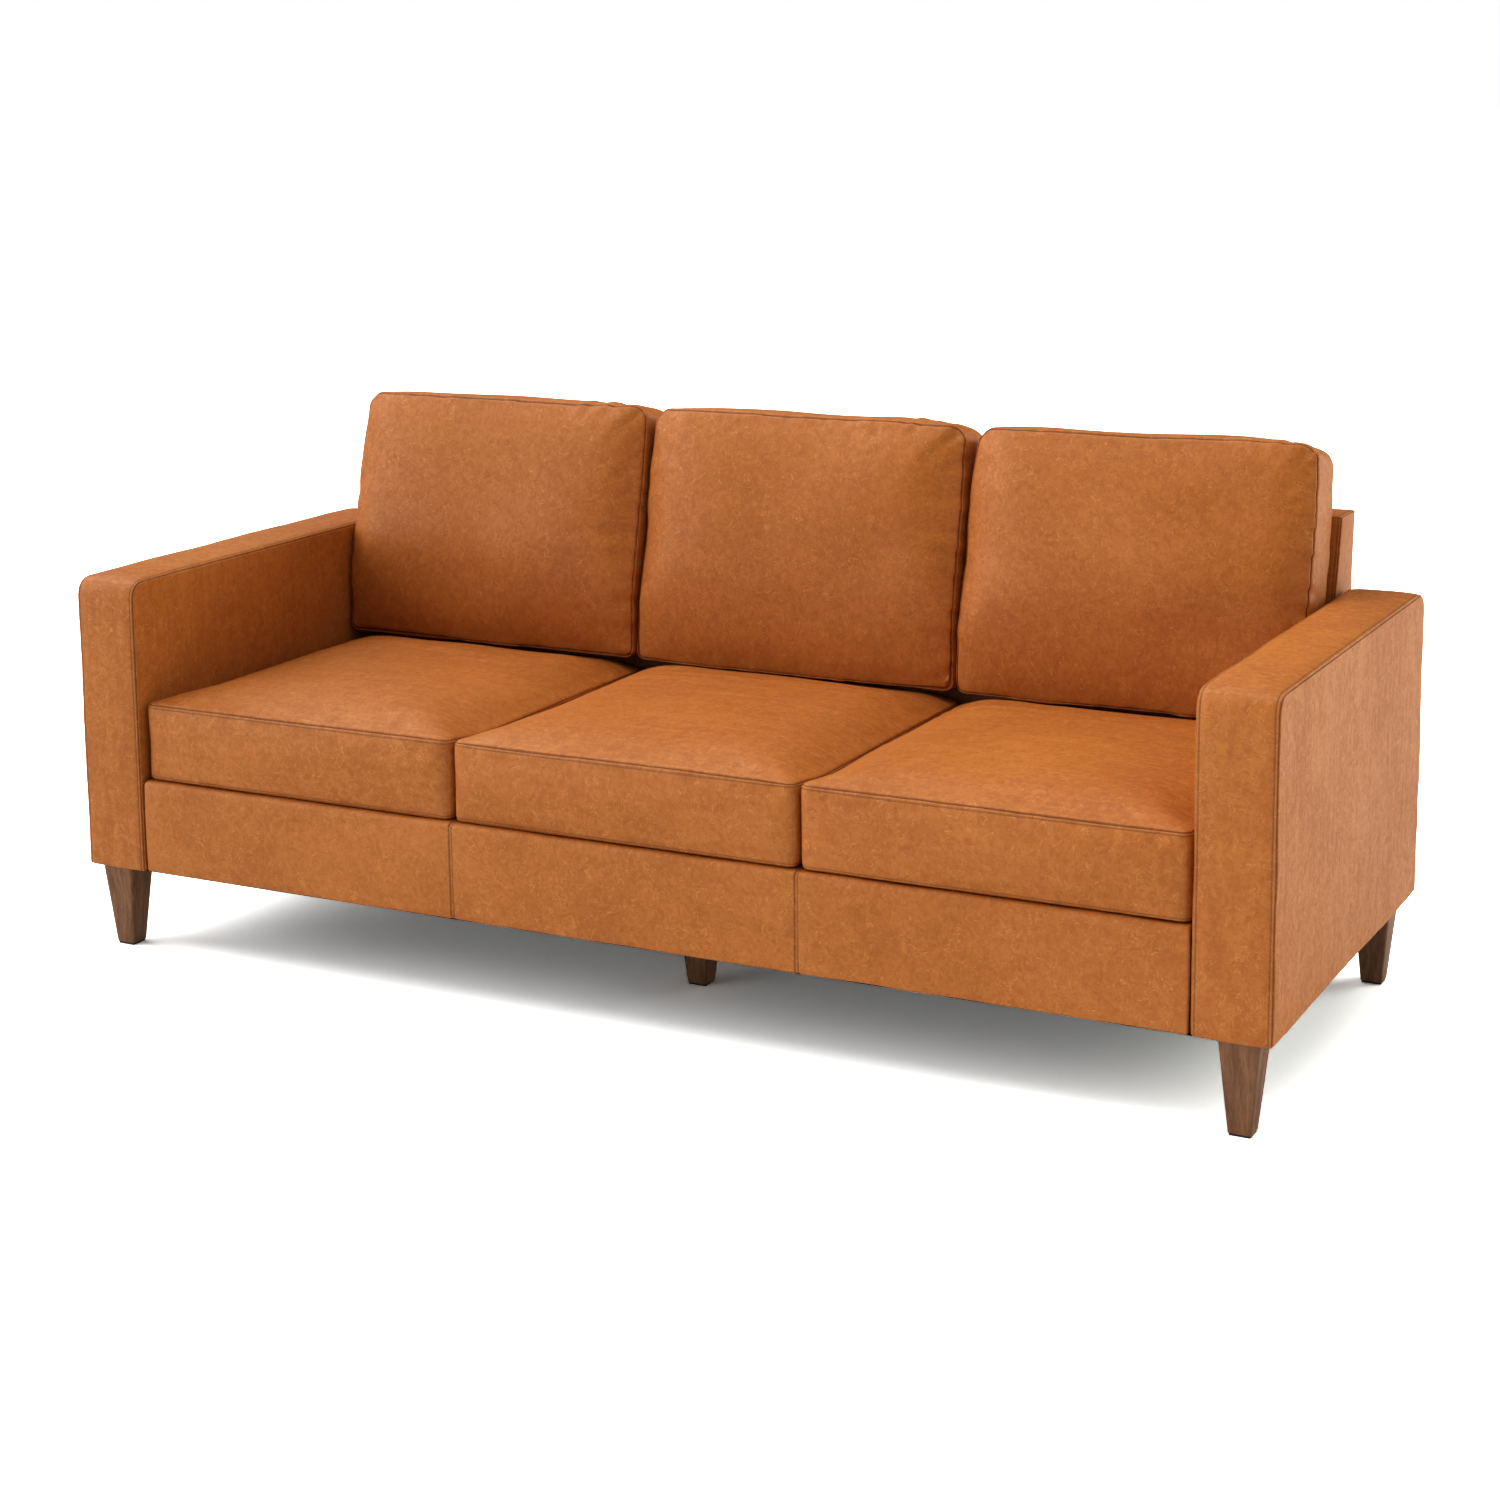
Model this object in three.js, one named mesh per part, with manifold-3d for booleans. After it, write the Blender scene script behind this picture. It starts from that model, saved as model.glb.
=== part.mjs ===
// Three-seat leather sofa with track arms, loose cushions and tapered wooden legs.
// Millimetres, +Z up, -Y towards the sitter's feet; the origin is under the middle, on the floor.
import * as THREE from 'three';
import { mergeVertices } from 'three/addons/utils/BufferGeometryUtils.js';
import Module from 'manifold-3d';

const wasm = await Module();
wasm.setup();

// Overall sizes
const sofaWidth = 2080;
const armLength = 812;
const armHeight = 641;
const armWidth = 122;
const baseHeight = 144;
const backHeight = 762;

// Upholstery
const coverWall = 12;
const armCornerRadius = 28;
const railSetback = 4;
const railHeight = 158;
const railBorderDepth = 60;
const railCornerRadius = 9;
const railEndGap = 3;
const hemThickness = 4;
const backOverhang = 36;
const backTopThickness = 84;
const backRake = THREE.MathUtils.degToRad(13);
const backOuterRake = THREE.MathUtils.degToRad(5);
const backEndGap = 4;

// Seat platform
const deckThickness = 10;
const deckDrop = 2;
const springWire = 3.8;
const springHalfWidth = 24;
const springLoops = 12;
const springArch = 14;
const springsPerSeat = 3;
const springPitch = 170;
const dustCoverThickness = 1.2;
const dustCoverInset = 15;

// Cushions
const seatCount = 3;
const leatherThickness = 3;
const cushionGap = 4;
const cushionLift = 1.5;
const seatEdgeHeight = 131;
const seatCrown = 22;
const seatFrontInset = 11;
const seatFrontBulge = 9;
const seatCorner = 16;
const seatRearGap = 3;
const backCushionThickness = 100;
const backCushionHeight = 430;
const backCushionCrown = 30;
const backCushionTopCrown = 8;
const backCushionCorner = 22;
const backCushionGap = 2;
const backCushionLift = 1;
const zipSlotShare = 0.6;
const zipSlotHeight = 9;

// Timber frame
const railThickness = 24;
const sideRailHeight = 110;
const rearRailDrop = 20;
const postThickness = 45;
const topRailThickness = 22;
const backPostWidth = 35;
const backTopRailHeight = 40;
const blockLength = 95;
const blockHeight = 45;
const beamWidth = 45;
const beamHeight = 60;

// Legs
const legTopSize = 62;
const legFootSize = 35;
const legEdgeRadius = 4;
const legSideInset = 22;
const legFrontInset = 10;
const legRearInset = 23;
const centerLegSetback = 277;
const glideThickness = 3;
const glideMargin = 1.5;
const boltRadius = 4;
const boltClearance = 0.3;
const boltInLeg = 45;
const boltInBlock = 30;

// Clearances
const fit = 0.3;
const cutMargin = 10;

// Derived places
const halfWidth = sofaWidth / 2;
const totalDepth = armLength + backOverhang;
const frontY = -totalDepth / 2;
const armRearY = frontY + armLength;
const armInnerX = halfWidth - armWidth;
const armMiddleX = halfWidth - armWidth / 2;
const railTop = baseHeight + railHeight;
const railFrontY = frontY + railSetback;
const railTimberY = railFrontY + coverWall + fit;
const railTimberRearY = railTimberY + railThickness;
const deckTop = railTop - deckDrop;
const deckBottom = deckTop - deckThickness;
const timberBottom = baseHeight + fit;
const seatPitch = (2 * armInnerX - cushionGap) / seatCount;
const cushionWidth = seatPitch - cushionGap;
const cushionBottom = railTop + cushionLift;
const springRise = springArch + springWire;
const armTimberWidth = armWidth - 2 * (coverWall + fit);
const backTopRearY = frontY + totalDepth;
const backHalfWidth = armInnerX - backEndGap;
const rearRailY = backFaceY(deckBottom) + fit + coverWall / 2;

function backFaceY(z) {
  return backTopRearY - backTopThickness - (backHeight - z) * Math.tan(backRake);
}

function backRearY(z) {
  return backTopRearY - (backHeight - z) * Math.tan(backOuterRake);
}

// Finishes: one new material for each piece
const finish = (color, roughness, metalness) => () =>
  new THREE.MeshStandardMaterial({ color, roughness, metalness });
const tanLeather = finish(0xb96d35, 0.45, 0);
const walnut = finish(0x5f3b25, 0.5, 0);
const frameTimber = finish(0xcfae7c, 0.75, 0);
const foam = finish(0xe8dfc4, 0.95, 0);
const deckCloth = finish(0x6b4a33, 0.9, 0);
const blackCloth = finish(0x1c1b1a, 0.95, 0);
const springSteel = finish(0x6d7074, 0.4, 1);
const boltSteel = finish(0xb4b7ba, 0.35, 1);
const glidePlastic = finish(0x24201d, 0.6, 0);

const sofa = new THREE.Group();

function addPiece(name, geometry, material, parent = sofa) {
  const mesh = new THREE.Mesh(geometry, material());
  mesh.name = name;
  parent.add(mesh);
  return mesh;
}

// Booleans
function toSolid(geometry) {
  const bare = geometry.index ? geometry.toNonIndexed() : geometry.clone();
  bare.deleteAttribute('normal');
  bare.deleteAttribute('uv');
  const merged = mergeVertices(bare, 1e-4);
  return new wasm.Manifold(new wasm.Mesh({
    numProp: 3,
    vertProperties: new Float32Array(merged.attributes.position.array),
    triVerts: new Uint32Array(merged.index.array),
  }));
}

function toGeometry(solid) {
  const mesh = solid.getMesh();
  const geometry = new THREE.BufferGeometry();
  geometry.setAttribute('position', new THREE.BufferAttribute(mesh.vertProperties, 3));
  geometry.setIndex(new THREE.BufferAttribute(mesh.triVerts, 1));
  return geometry;
}

function cut(body, ...tools) {
  let solid = toSolid(body);
  for (const tool of tools) {
    solid = solid.subtract(toSolid(tool));
  }
  return toGeometry(solid);
}

// A box given by its low and high corners
function boxBetween(low, high) {
  const [dx, dy, dz] = high.map((value, axis) => value - low[axis]);
  const box = new THREE.BoxGeometry(dx, dy, dz);
  return box.translate(low[0] + dx / 2, low[1] + dy / 2, low[2] + dz / 2);
}

// A flat outline of [y, z] points drawn in the side view and stretched across the sofa
function stretchAcross(shape, width, middleX) {
  const solid = new THREE.ExtrudeGeometry(shape, {
    depth: width,
    bevelEnabled: false,
    curveSegments: 5,
  });
  const toSideView = new THREE.Matrix4().makeBasis(
    new THREE.Vector3(0, 1, 0),
    new THREE.Vector3(0, 0, 1),
    new THREE.Vector3(1, 0, 0),
  );
  return solid.applyMatrix4(toSideView).translate(middleX - width / 2, 0, 0);
}

function polygon(points) {
  return new THREE.Shape(points.map((point) => new THREE.Vector2(...point)));
}

// Arm side view: a block whose two top corners are rounded
function armOutline(low, high, top, bottom, radius) {
  const shape = new THREE.Shape();
  shape.moveTo(low, bottom);
  shape.lineTo(high, bottom);
  shape.lineTo(high, top - radius);
  shape.absarc(high - radius, top - radius, radius, 0, Math.PI / 2, false);
  shape.lineTo(low + radius, top);
  shape.absarc(low + radius, top - radius, radius, Math.PI / 2, Math.PI, false);
  shape.closePath();
  return shape;
}

function armCover(middleX) {
  const outer = armOutline(frontY, armRearY, armHeight, baseHeight, armCornerRadius);
  const inner = armOutline(
    frontY + coverWall,
    armRearY - coverWall,
    armHeight - coverWall,
    baseHeight - cutMargin,
    armCornerRadius - coverWall,
  );
  return cut(
    stretchAcross(outer, armWidth, middleX),
    stretchAcross(inner, armWidth - 2 * coverWall, middleX),
  );
}

// Front rail cover: down the face, hemmed under the timber and turned back over the top
function frontRailCover() {
  const faceY = railFrontY;
  const hemY = railTimberRearY;
  const innerY = faceY + coverWall;
  const shape = new THREE.Shape();
  shape.moveTo(faceY, baseHeight);
  shape.lineTo(hemY, baseHeight);
  shape.lineTo(hemY, baseHeight + hemThickness);
  shape.lineTo(innerY, baseHeight + hemThickness);
  shape.lineTo(innerY, railTop - coverWall);
  shape.lineTo(faceY + railBorderDepth, railTop - coverWall);
  shape.lineTo(faceY + railBorderDepth, railTop);
  shape.lineTo(faceY + railCornerRadius, railTop);
  shape.absarc(
    faceY + railCornerRadius, railTop - railCornerRadius, railCornerRadius,
    Math.PI / 2, Math.PI, false,
  );
  shape.closePath();
  return stretchAcross(shape, 2 * (armInnerX - railEndGap), 0);
}

// Back cover: a wedge-shaped cap, open underneath, pulled down over the back frame
function backCover() {
  const wallAlongY = coverWall / Math.cos(backRake);
  const innerTop = backHeight - coverWall;
  const below = baseHeight - cutMargin;
  const outer = polygon([
    [backFaceY(deckBottom), deckBottom],
    [backRearY(baseHeight), baseHeight],
    [backRearY(backHeight), backHeight],
    [backFaceY(backHeight), backHeight],
  ]);
  const inner = polygon([
    [backFaceY(below) + wallAlongY, below],
    [backRearY(below) - coverWall, below],
    [backRearY(innerTop) - coverWall, innerTop],
    [backFaceY(innerTop) + wallAlongY, innerTop],
  ]);
  return cut(
    stretchAcross(outer, 2 * backHalfWidth, 0),
    stretchAcross(inner, 2 * (backHalfWidth - coverWall), 0),
  );
}

// Grid places along one side of a cushion: two close steps round each edge, the rest even
function cushionStep(share, half, radius, segments) {
  const fromEdge = Math.round((1 - Math.abs(share)) * segments / 2);
  const inner = half - radius;
  const places = [half, half - radius * 0.35, inner];
  const evenSteps = segments / 2 - 2;
  const along = fromEdge < 3 ? places[fromEdge] : inner * (1 - (fromEdge - 2) / evenSteps);
  return Math.sign(share) * along;
}

// Crowned box: size [x, y, z], edge radius, and the crowns of its top and front faces.
// The edge places are shared, so a smaller one nests inside a larger one.
function cushionBody({ size, radius, topCrown, frontCrown }) {
  const segments = [6, 6, 4];
  const body = new THREE.BoxGeometry(2, 2, 2, ...segments);
  const place = body.attributes.position;
  const half = size.map((side) => side / 2);
  const point = new THREE.Vector3();
  const core = new THREE.Vector3();
  for (let i = 0; i < place.count; i += 1) {
    point.fromBufferAttribute(place, i);
    const along = point.toArray().map((share, axis) =>
      cushionStep(share, half[axis], radius, segments[axis]));
    const [u, v, t] = along.map((value, axis) => value / half[axis]);
    core.set(...along.map((value, axis) =>
      THREE.MathUtils.clamp(value, radius - half[axis], half[axis] - radius)));
    point.set(...along).sub(core).setLength(radius).add(core);
    point.z += topCrown * (1 - u ** 6) * (1 - v ** 6) * (1 + t) / 2;
    point.y -= frontCrown * (1 - u ** 4) * (1 - t ** 4) * (1 - v) / 2;
    place.setXYZ(i, ...point.toArray());
  }
  return body;
}

function shrunk(shape, wall) {
  return {
    ...shape,
    size: shape.size.map((side) => side - 2 * wall),
    radius: shape.radius - wall,
  };
}

// Leather cover with a slot along its rear or lower face for the zip, and the filling inside
function addCushion(group, coverName, fillingName, shape, slot) {
  const cavity = cushionBody(shrunk(shape, leatherThickness));
  addPiece(coverName, cut(cushionBody(shape), cavity, slot), tanLeather, group);
  addPiece(fillingName, cushionBody(shrunk(shape, leatherThickness + fit)), foam, group);
}

function seatCushionShape() {
  const rearY = backFaceY(cushionBottom) - seatRearGap;
  return {
    size: [cushionWidth, rearY - frontY - seatFrontInset, seatEdgeHeight],
    radius: seatCorner,
    topCrown: seatCrown,
    frontCrown: seatFrontBulge,
  };
}

function backCushionShape() {
  return {
    size: [cushionWidth, backCushionThickness, backCushionHeight],
    radius: backCushionCorner,
    topCrown: backCushionTopCrown,
    frontCrown: backCushionCrown,
  };
}

function addSeatCushion(place, middleX) {
  const shape = seatCushionShape();
  const [, depth, height] = shape.size;
  const group = new THREE.Group();
  group.position.set(middleX, frontY + seatFrontInset + depth / 2, cushionBottom + height / 2);
  const slotLength = cushionWidth * zipSlotShare;
  const slot = new THREE.BoxGeometry(slotLength, 4 * leatherThickness, zipSlotHeight);
  slot.translate(0, depth / 2, 0);
  addCushion(group, `seat_cushion_${place}`, `seat_foam_${place}`, shape, slot);
  sofa.add(group);
}

// The back cushions lean on the raked face of the back, above the rear of the seat cushions
function addBackCushion(place, middleX) {
  const shape = backCushionShape();
  const [, thickness, height] = shape.size;
  const lean = new THREE.Group();
  const lowZ = cushionBottom + seatEdgeHeight + backCushionLift;
  lean.position.set(middleX, backFaceY(lowZ) - backCushionGap, lowZ);
  lean.rotation.x = -backRake;
  const body = new THREE.Group();
  body.position.set(0, -thickness / 2, height / 2);
  lean.add(body);
  const slotLength = cushionWidth * zipSlotShare;
  const slot = new THREE.BoxGeometry(slotLength, zipSlotHeight, 4 * leatherThickness);
  slot.translate(0, 0, -height / 2);
  addCushion(body, `back_cushion_${place}`, `back_fill_${place}`, shape, slot);
  sofa.add(lean);
}

// Sinuous spring: a wire that swings from side to side between the rails and arches up
function sinuousSpring(middleX) {
  const fromY = railTimberRearY + springWire / 2 + fit;
  const toY = rearRailY - springWire / 2 - fit;
  const lowZ = deckBottom - springRise - springWire;
  const points = [];
  for (let i = 0; i <= springLoops; i += 1) {
    const share = i / springLoops;
    const side = i % 2 === 0 ? -1 : 1;
    points.push(new THREE.Vector3(
      middleX + side * springHalfWidth,
      THREE.MathUtils.lerp(fromY, toY, share),
      lowZ + springArch * Math.sin(Math.PI * share),
    ));
  }
  const section = new THREE.Shape();
  section.absarc(0, 0, springWire / 2, 0, 2 * Math.PI, false);
  return new THREE.ExtrudeGeometry(section, {
    steps: springLoops * 3,
    curveSegments: 5,
    extrudePath: new THREE.CatmullRomCurve3(points),
  });
}

function roundedSquare(size, radius) {
  const inner = size / 2 - radius;
  const shape = new THREE.Shape();
  shape.absarc(inner, inner, radius, 0, Math.PI / 2, false);
  shape.absarc(-inner, inner, radius, Math.PI / 2, Math.PI, false);
  shape.absarc(-inner, -inner, radius, Math.PI, 1.5 * Math.PI, false);
  shape.absarc(inner, -inner, radius, 1.5 * Math.PI, 2 * Math.PI, false);
  shape.closePath();
  return shape;
}

function boltHole(length, endZ) {
  const hole = new THREE.CylinderGeometry(
    boltRadius + boltClearance, boltRadius + boltClearance, length, 12,
  );
  return hole.rotateX(Math.PI / 2).translate(0, 0, endZ - length / 2);
}

// Leg: a square taper, bored from the top for its bolt
function legBody() {
  const low = glideThickness + fit;
  const high = baseHeight;
  const body = new THREE.ExtrudeGeometry(roundedSquare(legTopSize, legEdgeRadius), {
    depth: high - low,
    bevelEnabled: false,
    curveSegments: 3,
  });
  const place = body.attributes.position;
  for (let i = 0; i < place.count; i += 1) {
    const share = place.getZ(i) / (high - low);
    const scale = THREE.MathUtils.lerp(legFootSize / legTopSize, 1, share);
    place.setXY(i, place.getX(i) * scale, place.getY(i) * scale);
  }
  body.translate(0, 0, low);
  return cut(body, boltHole(boltInLeg + cutMargin, high + cutMargin));
}

function glideBody() {
  return new THREE.ExtrudeGeometry(
    roundedSquare(legFootSize - 2 * glideMargin, legEdgeRadius / 2),
    { depth: glideThickness, bevelEnabled: false, curveSegments: 3 },
  );
}

function legBolt() {
  const length = boltInLeg + boltInBlock - 2 * boltClearance;
  const bolt = new THREE.CylinderGeometry(boltRadius, boltRadius, length, 12);
  return bolt.rotateX(Math.PI / 2).translate(0, 0, baseHeight - boltInLeg + boltClearance + length / 2);
}

function addLeg(place, x, y) {
  const group = new THREE.Group();
  group.position.set(x, y, 0);
  addPiece(`leg_${place}`, legBody(), walnut, group);
  addPiece(`glide_${place}`, glideBody(), glidePlastic, group);
  addPiece(`leg_bolt_${place}`, legBolt(), boltSteel, group);
  sofa.add(group);
}

const legFrontY = frontY + legFrontInset + legTopSize / 2;
const legRearY = armRearY - legRearInset - legTopSize / 2;
const legX = halfWidth - legSideInset - legTopSize / 2;
const centerLegY = frontY + centerLegSetback;

function holeAt(x, y) {
  return boltHole(boltInBlock + cutMargin, timberBottom + boltInBlock).translate(x, y, 0);
}

// Timber of one arm: two corner blocks, a post on each, a side rail and a top rail
function addArmTimber(side, sign) {
  const middleX = sign * armMiddleX;
  const low = middleX - armTimberWidth / 2;
  const high = middleX + armTimberWidth / 2;
  const endInset = coverWall + fit;
  const front = frontY + endInset;
  const rear = armRearY - endInset;
  const blockTop = timberBottom + blockHeight;
  const railBottom = armHeight - endInset - topRailThickness;
  const ends = [['front', front, 1, legFrontY], ['rear', rear, -1, legRearY]];
  for (const [end, outerY, inward, legY] of ends) {
    const blockY = [outerY, outerY + inward * blockLength].sort((a, b) => a - b);
    const postY = [outerY, outerY + inward * postThickness].sort((a, b) => a - b);
    const block = boxBetween([low, blockY[0], timberBottom], [high, blockY[1], blockTop]);
    addPiece(`corner_block_${end}_${side}`, cut(block, holeAt(sign * legX, legY)), frameTimber);
    addPiece(
      `arm_post_${end}_${side}`,
      boxBetween([low, postY[0], blockTop + fit], [high, postY[1], railBottom - fit]),
      frameTimber,
    );
  }
  const cornerReach = armCornerRadius - coverWall;
  addPiece(
    `arm_top_rail_${side}`,
    boxBetween(
      [low, front + cornerReach, railBottom],
      [high, rear - cornerReach, armHeight - endInset],
    ),
    frameTimber,
  );
  const innerX = sign * (armInnerX + endInset);
  const railX = [innerX, innerX + sign * railThickness].sort((a, b) => a - b);
  addPiece(
    `side_rail_${side}`,
    boxBetween(
      [railX[0], front + blockLength + fit, timberBottom],
      [railX[1], rear - blockLength - fit, timberBottom + sideRailHeight],
    ),
    frameTimber,
  );
}

// Timber under the seat: front rail, rear rail and the beam that carries the middle leg
function addSeatTimber() {
  const railHalf = armInnerX - railEndGap;
  addPiece(
    'front_rail',
    boxBetween(
      [-railHalf, railTimberY, baseHeight + hemThickness + fit],
      [railHalf, railTimberRearY, railTop - coverWall - fit],
    ),
    frameTimber,
  );
  const rearHalf = backHalfWidth - coverWall - 2 * fit - backPostWidth - fit;
  addPiece(
    'rear_rail',
    boxBetween(
      [-rearHalf, rearRailY, timberBottom],
      [rearHalf, rearRailY + railThickness, deckBottom - rearRailDrop],
    ),
    frameTimber,
  );
  const beam = boxBetween(
    [-beamWidth / 2, railTimberRearY + fit, timberBottom],
    [beamWidth / 2, rearRailY - fit, timberBottom + beamHeight],
  );
  addPiece('center_beam', cut(beam, holeAt(0, centerLegY)), frameTimber);
}

// Back frame: two shaped posts joined by a top rail, all inside the raked cover
function addBackTimber() {
  const inset = coverWall / Math.cos(backRake) + fit;
  const railHigh = backHeight - coverWall - fit;
  const railLow = railHigh - backTopRailHeight;
  const postHigh = railLow - fit;
  const footFrontY = backFaceY(deckTop) + inset;
  const post = polygon([
    [footFrontY, timberBottom],
    [backRearY(timberBottom) - inset, timberBottom],
    [backRearY(postHigh) - inset, postHigh],
    [backFaceY(postHigh) + inset, postHigh],
    [footFrontY, deckTop],
  ]);
  const postX = backHalfWidth - coverWall - fit - backPostWidth / 2;
  for (const [side, sign] of [['left', -1], ['right', 1]]) {
    addPiece(`back_post_${side}`, stretchAcross(post, backPostWidth, sign * postX), frameTimber);
  }
  const rail = polygon([
    [backFaceY(railLow) + inset, railLow],
    [backRearY(railLow) - inset, railLow],
    [backRearY(railHigh) - inset, railHigh],
    [backFaceY(railHigh) + inset, railHigh],
  ]);
  const railWidth = 2 * (backHalfWidth - coverWall - fit);
  addPiece('back_top_rail', stretchAcross(rail, railWidth, 0), frameTimber);
}

// Deck cloth over the springs, flush behind the front rail's border
function addDeck() {
  addPiece(
    'seat_deck',
    boxBetween(
      [-armInnerX + railEndGap, railFrontY + railBorderDepth + fit, deckBottom],
      [armInnerX - railEndGap, backFaceY(deckBottom) - fit, deckTop],
    ),
    deckCloth,
  );
}

function addSprings() {
  let number = 1;
  for (let seat = 0; seat < seatCount; seat += 1) {
    const seatX = (seat - (seatCount - 1) / 2) * seatPitch;
    for (let i = 0; i < springsPerSeat; i += 1) {
      const offset = (i - (springsPerSeat - 1) / 2) * springPitch;
      addPiece(`seat_spring_${number}`, sinuousSpring(seatX + offset), springSteel);
      number += 1;
    }
  }
}

// Black cloth stapled under the frame, with an opening round each leg
function addDustCover() {
  const outerX = halfWidth - dustCoverInset;
  const innerX = armInnerX + dustCoverInset;
  const front = frontY + dustCoverInset;
  const rear = backRearY(baseHeight) - dustCoverInset;
  const armRear = armRearY - dustCoverInset;
  const outline = polygon([
    [-outerX, front], [outerX, front], [outerX, armRear], [innerX, armRear],
    [innerX, rear], [-innerX, rear], [-innerX, armRear], [-outerX, armRear],
  ]);
  const top = baseHeight - fit;
  const sheet = new THREE.ExtrudeGeometry(outline, {
    depth: dustCoverThickness,
    bevelEnabled: false,
  }).translate(0, 0, top - dustCoverThickness);
  const reach = legTopSize / 2 + 1;
  const spots = [[-legX, legFrontY], [legX, legFrontY], [-legX, legRearY], [legX, legRearY]];
  spots.push([0, centerLegY]);
  const openings = spots.map(([legAtX, legAtY]) => boxBetween(
    [legAtX - reach, legAtY - reach, baseHeight - cutMargin],
    [legAtX + reach, legAtY + reach, baseHeight + cutMargin],
  ));
  addPiece('dust_cover', cut(sheet, ...openings), blackCloth);
}

for (const [side, sign] of [['left', -1], ['right', 1]]) {
  addPiece(`arm_cover_${side}`, armCover(sign * armMiddleX), tanLeather);
  addArmTimber(side, sign);
  addLeg(`front_${side}`, sign * legX, legFrontY);
  addLeg(`rear_${side}`, sign * legX, legRearY);
}
addLeg('center', 0, centerLegY);
addPiece('front_rail_cover', frontRailCover(), tanLeather);
addPiece('back_cover', backCover(), tanLeather);
addSeatTimber();
addBackTimber();
addSprings();
addDeck();
addDustCover();
['left', 'center', 'right'].forEach((place, seat) => {
  const middleX = (seat - (seatCount - 1) / 2) * seatPitch;
  addSeatCushion(place, middleX);
  addBackCushion(place, middleX);
});

export default sofa;
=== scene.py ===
import math

import bpy
import numpy as np
from mathutils import Matrix, Vector


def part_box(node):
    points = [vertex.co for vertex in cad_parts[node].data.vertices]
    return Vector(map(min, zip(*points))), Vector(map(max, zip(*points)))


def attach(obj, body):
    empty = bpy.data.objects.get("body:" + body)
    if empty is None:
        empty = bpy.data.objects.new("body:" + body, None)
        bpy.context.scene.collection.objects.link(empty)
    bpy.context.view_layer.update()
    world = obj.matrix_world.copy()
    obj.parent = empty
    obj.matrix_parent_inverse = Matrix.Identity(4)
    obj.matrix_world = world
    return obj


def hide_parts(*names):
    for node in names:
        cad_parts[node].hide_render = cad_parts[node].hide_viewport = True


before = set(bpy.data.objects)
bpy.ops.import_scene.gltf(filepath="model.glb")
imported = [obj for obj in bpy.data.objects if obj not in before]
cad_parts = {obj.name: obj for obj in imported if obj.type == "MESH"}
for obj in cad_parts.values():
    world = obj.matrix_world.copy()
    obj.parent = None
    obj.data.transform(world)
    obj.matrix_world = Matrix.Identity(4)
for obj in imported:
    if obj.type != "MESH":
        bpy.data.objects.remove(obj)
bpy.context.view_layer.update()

# ---------------------------------------------------------------- sizes, in metres
SIDES = (("left", -1), ("right", 1))
SEATS = ("left", "center", "right")
LEGS = ("front_left", "front_right", "rear_left", "rear_right", "center")
FRAME_BODY = "sofa_frame"

SEAM_STEP = 0.0011          # mesh spacing across a seam
SEAM_DEPTH = 0.0020
SEAM_HALF_WIDTH = 0.0011
TOPSTITCH_INSET = 0.0062    # from a seam to the row of stitches beside it
TOPSTITCH_DEPTH = 0.0009
TOPSTITCH_HALF_WIDTH = 0.0013
STITCH_PITCH = 0.0052
STITCH_LENGTH = 0.0036
STITCH_RADIUS = 0.00042
LEATHER_THICKNESS = 0.0026
HEM_WIDTH = 0.0115

SEAT_CROWN = 0.022
SEAT_FRONT_BULGE = 0.009
SEAT_CORNER = 0.015
SEAT_ROLL = 0.0070
SEAT_PINCH = 0.0010         # how far the seams draw in from the fattest line of the sides
SEAT_SIDE_DROP = 0.012      # the top seam dips this much along the sides and the rear
SEAT_EDGE_REACH = 0.030     # how quickly the filled top rises from its seams
SEAT_REST_FRONT = 0.172     # the back cushions press the seats flat behind this line
SEAT_REST_SLOPE = 0.9       # how steeply the seats rise in front of it
SEAT_REST_GAP = 0.0005
SEAT_UNFILLED = 0.85        # share of the crown that a cover has before it is filled
SEAT_SEAM_HOLD = 0.85       # how firmly the seams hold while a cover is filled

BACK_RAKE = math.radians(13)
BACK_REAR_RAKE = math.radians(5)
BACK_TOP_THICKNESS = 0.084
BACK_THICKNESS = 0.100
BACK_HEIGHT = 0.430
BACK_CROWN = 0.030
BACK_TOP_CROWN = 0.008
BACK_CORNER = 0.030
BACK_FOOT_CORNER = 0.016
BACK_ROLL = 0.007
BACK_PINCH = 0.0015
BACK_EDGE_REACH = 0.034
BACK_LEFT_DROP = 0.010      # how far the front seam leans back at the left, right and foot
BACK_RIGHT_DROP = 0.004
BACK_FOOT_DROP = 0.026
BACK_FOOT_REACH = 0.060
BACK_UNFILLED = 0.75
BACK_SEAM_HOLD = 0.8
BACK_TOP_DRAWN_IN = 0.004   # the upper sides lean in by this much
BACK_RIGHT_DRAWN_IN = 0.013 # the right cushion's outer end is pressed in by this much
COVER_SLACK = 0.0012        # how far a cover may stand past its cushion's sides

ARM_CORNER = 0.028
ARM_ROLL = 0.0045
ARM_CROWN = 0.0015
ARM_TOP_CROWN = 0.006
RAIL_CORNER = 0.009
RAIL_HEM_CORNER = 0.004
COVER_CORNER = 0.010
PANEL_ROW_INSET = TOPSTITCH_INSET * 0.8
ROW_SHADE = 0.55            # a stitched row gets this share of a seam's painted shade
# the front rail's seams and rows get this share of the painted seam shade
RAIL_SHADE = 0.6
RAIL_TURN = 0.003
RAIL_RETURN = 0.009
RAIL_RIPPLE = 0.00022
DUST_THICKNESS = 0.0006
LEG_FOOT_SHARE = 35 / 62    # width of a leg's foot against its top

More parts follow.
